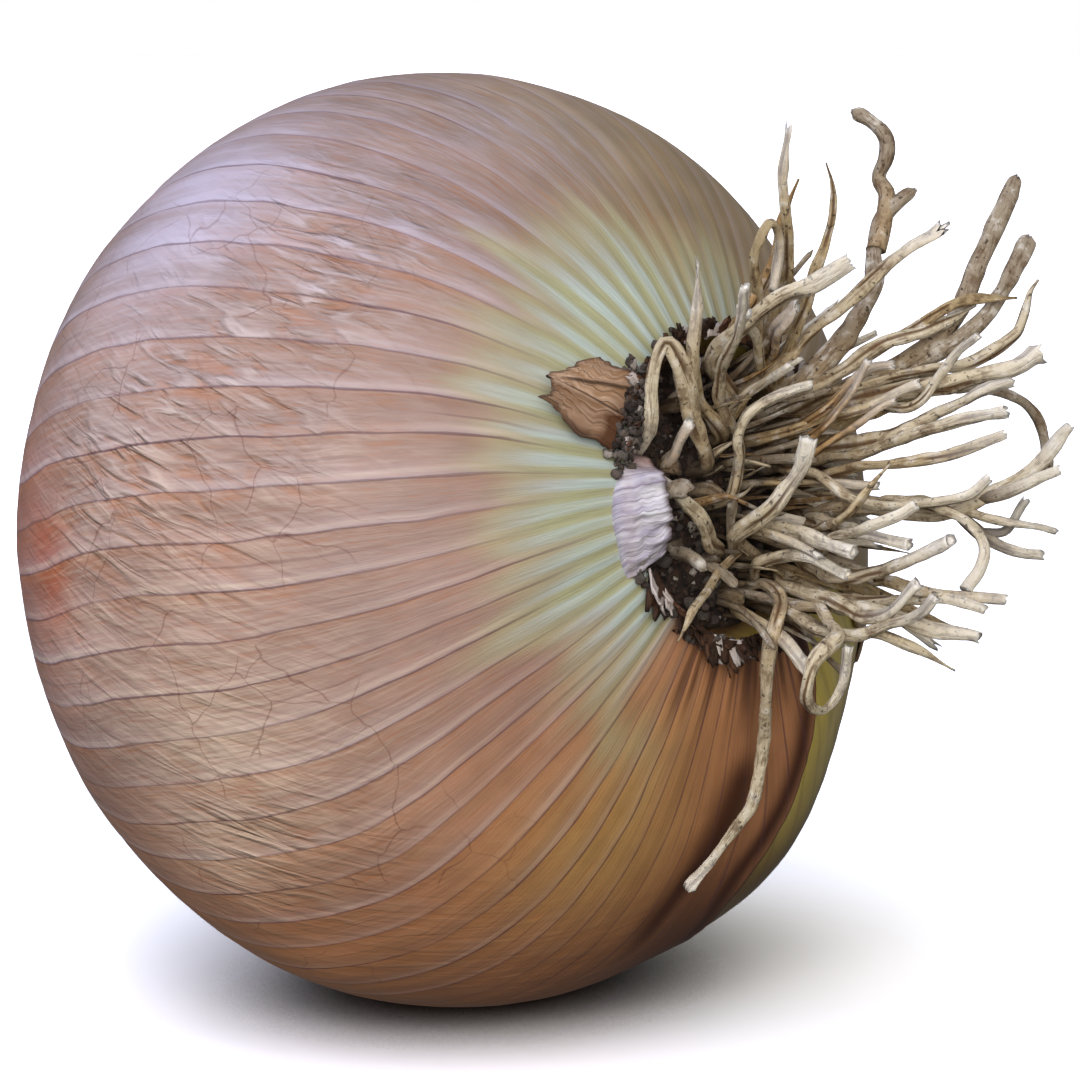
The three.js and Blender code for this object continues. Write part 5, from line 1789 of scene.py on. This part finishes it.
@dataclass
class Studio:
    """The camera, the pale floor and the soft light."""

    photo_px: float = 1080.0
    focal_px: float = 3500.0
    mm_per_px: float = 0.08587
    azimuth_deg: float = 40.7
    elevation_deg: float = 8.0
    centre_left_of_middle_px: float = 80.8
    floor_radius: float = 30.0
    floor_white: float = 1.75
    key_azimuth_deg: float = -2.0
    key_elevation_deg: float = 20.0
    window_azimuth_deg: float = -62.0
    window_elevation_deg: float = 50.0
    contact_reach: float = 0.034
    contact_rays: int = 10

    def camera(self) -> None:
        """Sets the camera where the photographer stood."""
        azimuth, elevation = math.radians(self.azimuth_deg), math.radians(self.elevation_deg)
        back = np.array([math.sin(azimuth) * math.cos(elevation), -math.cos(azimuth) * math.cos(elevation),
                         math.sin(elevation)])
        right = np.array([math.cos(azimuth), math.sin(azimuth), 0.0])
        target = SHAPE.centre + right * self.centre_left_of_middle_px * self.mm_per_px
        lens = bpy.data.cameras.new("photo camera")
        lens.sensor_width = 36.0
        lens.lens = lens.sensor_width * self.focal_px / self.photo_px
        lens.clip_start = 0.01
        camera = bpy.data.objects.new("photo camera", lens)
        camera.location = (target + back * self.focal_px * self.mm_per_px) * MM
        camera.rotation_euler = Vector(back).to_track_quat("Z", "Y").to_euler()
        bpy.context.scene.collection.objects.link(camera)
        bpy.context.scene.camera = camera

    def floor(self) -> None:
        """Lays a wide white floor. It sends no light back, so the underside stays dark."""
        angles = np.linspace(0.0, 2 * math.pi, 96, endpoint=False)
        rim = [(self.floor_radius * math.cos(a), self.floor_radius * math.sin(a), 0.0) for a in angles]
        mesh = bpy.data.meshes.new("pale floor")
        mesh.from_pydata(rim, [], [list(range(len(rim)))])
        paper = Shader("matt white paper")
        # Painted contact shadow: the floor's colour darkens where ambient occlusion finds the onion close by.
        settings = {"Distance": self.contact_reach, "samples": self.contact_rays}
        openness = add(paper.tree, "AmbientOcclusion", settings).outputs["AO"]
        shade = paper.graded(openness, 0.03, 0.66)
        colour = paper.scaled(paper.mixed(shade, "2a2624", "ffffff"), self.floor_white)
        mesh.materials.append(paper.finish(colour, 0.9, Specular_IOR_Level=0.0))
        self.staged("pale_floor", mesh)

    def backdrop(self) -> None:
        """Closes the view with a white wall that only the camera sees."""
        angles = np.linspace(0.0, 2 * math.pi, 96, endpoint=False)
        points = [(self.floor_radius * math.cos(a), self.floor_radius * math.sin(a), z)
                  for z in (-8.0, 30.0) for a in angles]
        mesh = bpy.data.meshes.new("white wall")
        mesh.from_pydata(points, [], grid_faces(2, len(angles), closed=True))
        paper = Shader("lit white wall")
        white = linear("ffffff")
        mesh.materials.append(paper.finish("000000", 0.9, Specular_IOR_Level=0.0, Emission_Color=white,
                                           Emission_Strength=1.0))
        self.staged("white_wall", mesh)

    def staged(self, name: str, mesh: bpy.types.Mesh) -> None:
        """Adds a stage mesh that neither lights the onion nor shows in its gloss.

        Args:
            name: The object's name.
            mesh: Its mesh.
        """
        stage = bpy.data.objects.new(name, mesh)
        bpy.context.scene.collection.objects.link(stage)
        stage.visible_diffuse = False
        stage.visible_glossy = False
        stage.visible_transmission = False
        stage.visible_shadow = False

    def toward(self, azimuth: float, elevation: float) -> Vector:
        """The direction from the onion to a light.

        Args:
            azimuth: Degrees from the camera's side, positive to the right.
            elevation: Degrees over the floor.

        Returns:
            A unit vector.
        """
        turn = math.radians(self.azimuth_deg + azimuth)
        rise = math.radians(elevation)
        return Vector((math.sin(turn) * math.cos(rise), -math.cos(turn) * math.cos(rise), math.sin(rise)))

    def light(self) -> None:
        """Lights the onion with a broad frontal lamp, a cool window and soft overhead light."""
        key = bpy.data.lights.new("broad frontal lamp", "SUN")
        key.energy = 2.6
        key.angle = math.radians(55.0)
        key.color = linear("fffaf4")[:3]
        lamp = bpy.data.objects.new("broad frontal lamp", key)
        away = self.toward(self.key_azimuth_deg, self.key_elevation_deg)
        lamp.rotation_euler = away.to_track_quat("Z", "Y").to_euler()
        bpy.context.scene.collection.objects.link(lamp)

        # Soft light from overhead, little from below, and a cool window at the upper left.
        world = bpy.data.worlds.new("even studio")
        world.use_nodes = True
        tree = world.node_tree
        direction = add(tree, "TexCoord").outputs["Generated"]
        height = add(tree, "SeparateXYZ", links={0: direction}).outputs["Z"]
        settings = {"interpolation_type": "SMOOTHSTEP", 1: -0.6, 2: 0.6, 3: 0.11, 4: 0.31}
        ambient = add(tree, "MapRange", settings, {0: height}).outputs[0]
        window = tuple(self.toward(self.window_azimuth_deg, self.window_elevation_deg))
        along_window = add(tree, "VectorMath", {"operation": "DOT_PRODUCT", 1: window}, {0: direction})
        nearness = along_window.outputs["Value"]
        settings = {"interpolation_type": "SMOOTHSTEP", 1: 0.45, 2: 0.95, 3: 0.0, 4: 1.0}
        glow = add(tree, "MapRange", settings, {0: nearness}).outputs[0]
        colour = add(tree, "Mix", {"data_type": "RGBA", 6: linear("ffffff"), 7: linear("d8e0ff")}, {0: glow})
        extra = add(tree, "Math", {"operation": "MULTIPLY_ADD", 1: 1.25}, {0: glow, 2: ambient}).outputs[0]
        background = tree.nodes["Background"]
        tree.links.new(colour.outputs[2], background.inputs["Color"])
        tree.links.new(extra, background.inputs["Strength"])
        bpy.context.scene.world = world
        bpy.context.scene.view_settings.view_transform = "Standard"


def main() -> None:
    """Builds the onion and its studio."""
    studio = Studio()
    studio.camera()
    studio.floor()
    studio.backdrop()
    studio.light()
    tuft = RootTuft()
    scales = TornScales()
    steps = (OuterSkin().build, InnerBulb().build, tuft.build_soil, tuft.build_roots, scales.brown,
             scales.pale, scales.rim)
    for step in steps:
        piece = step()
        LOG.info("%s: %d faces", piece.name, len(piece.data.polygons))


if __name__ == "__main__":
    logging.basicConfig(level=logging.INFO, format="%(message)s")
    main()
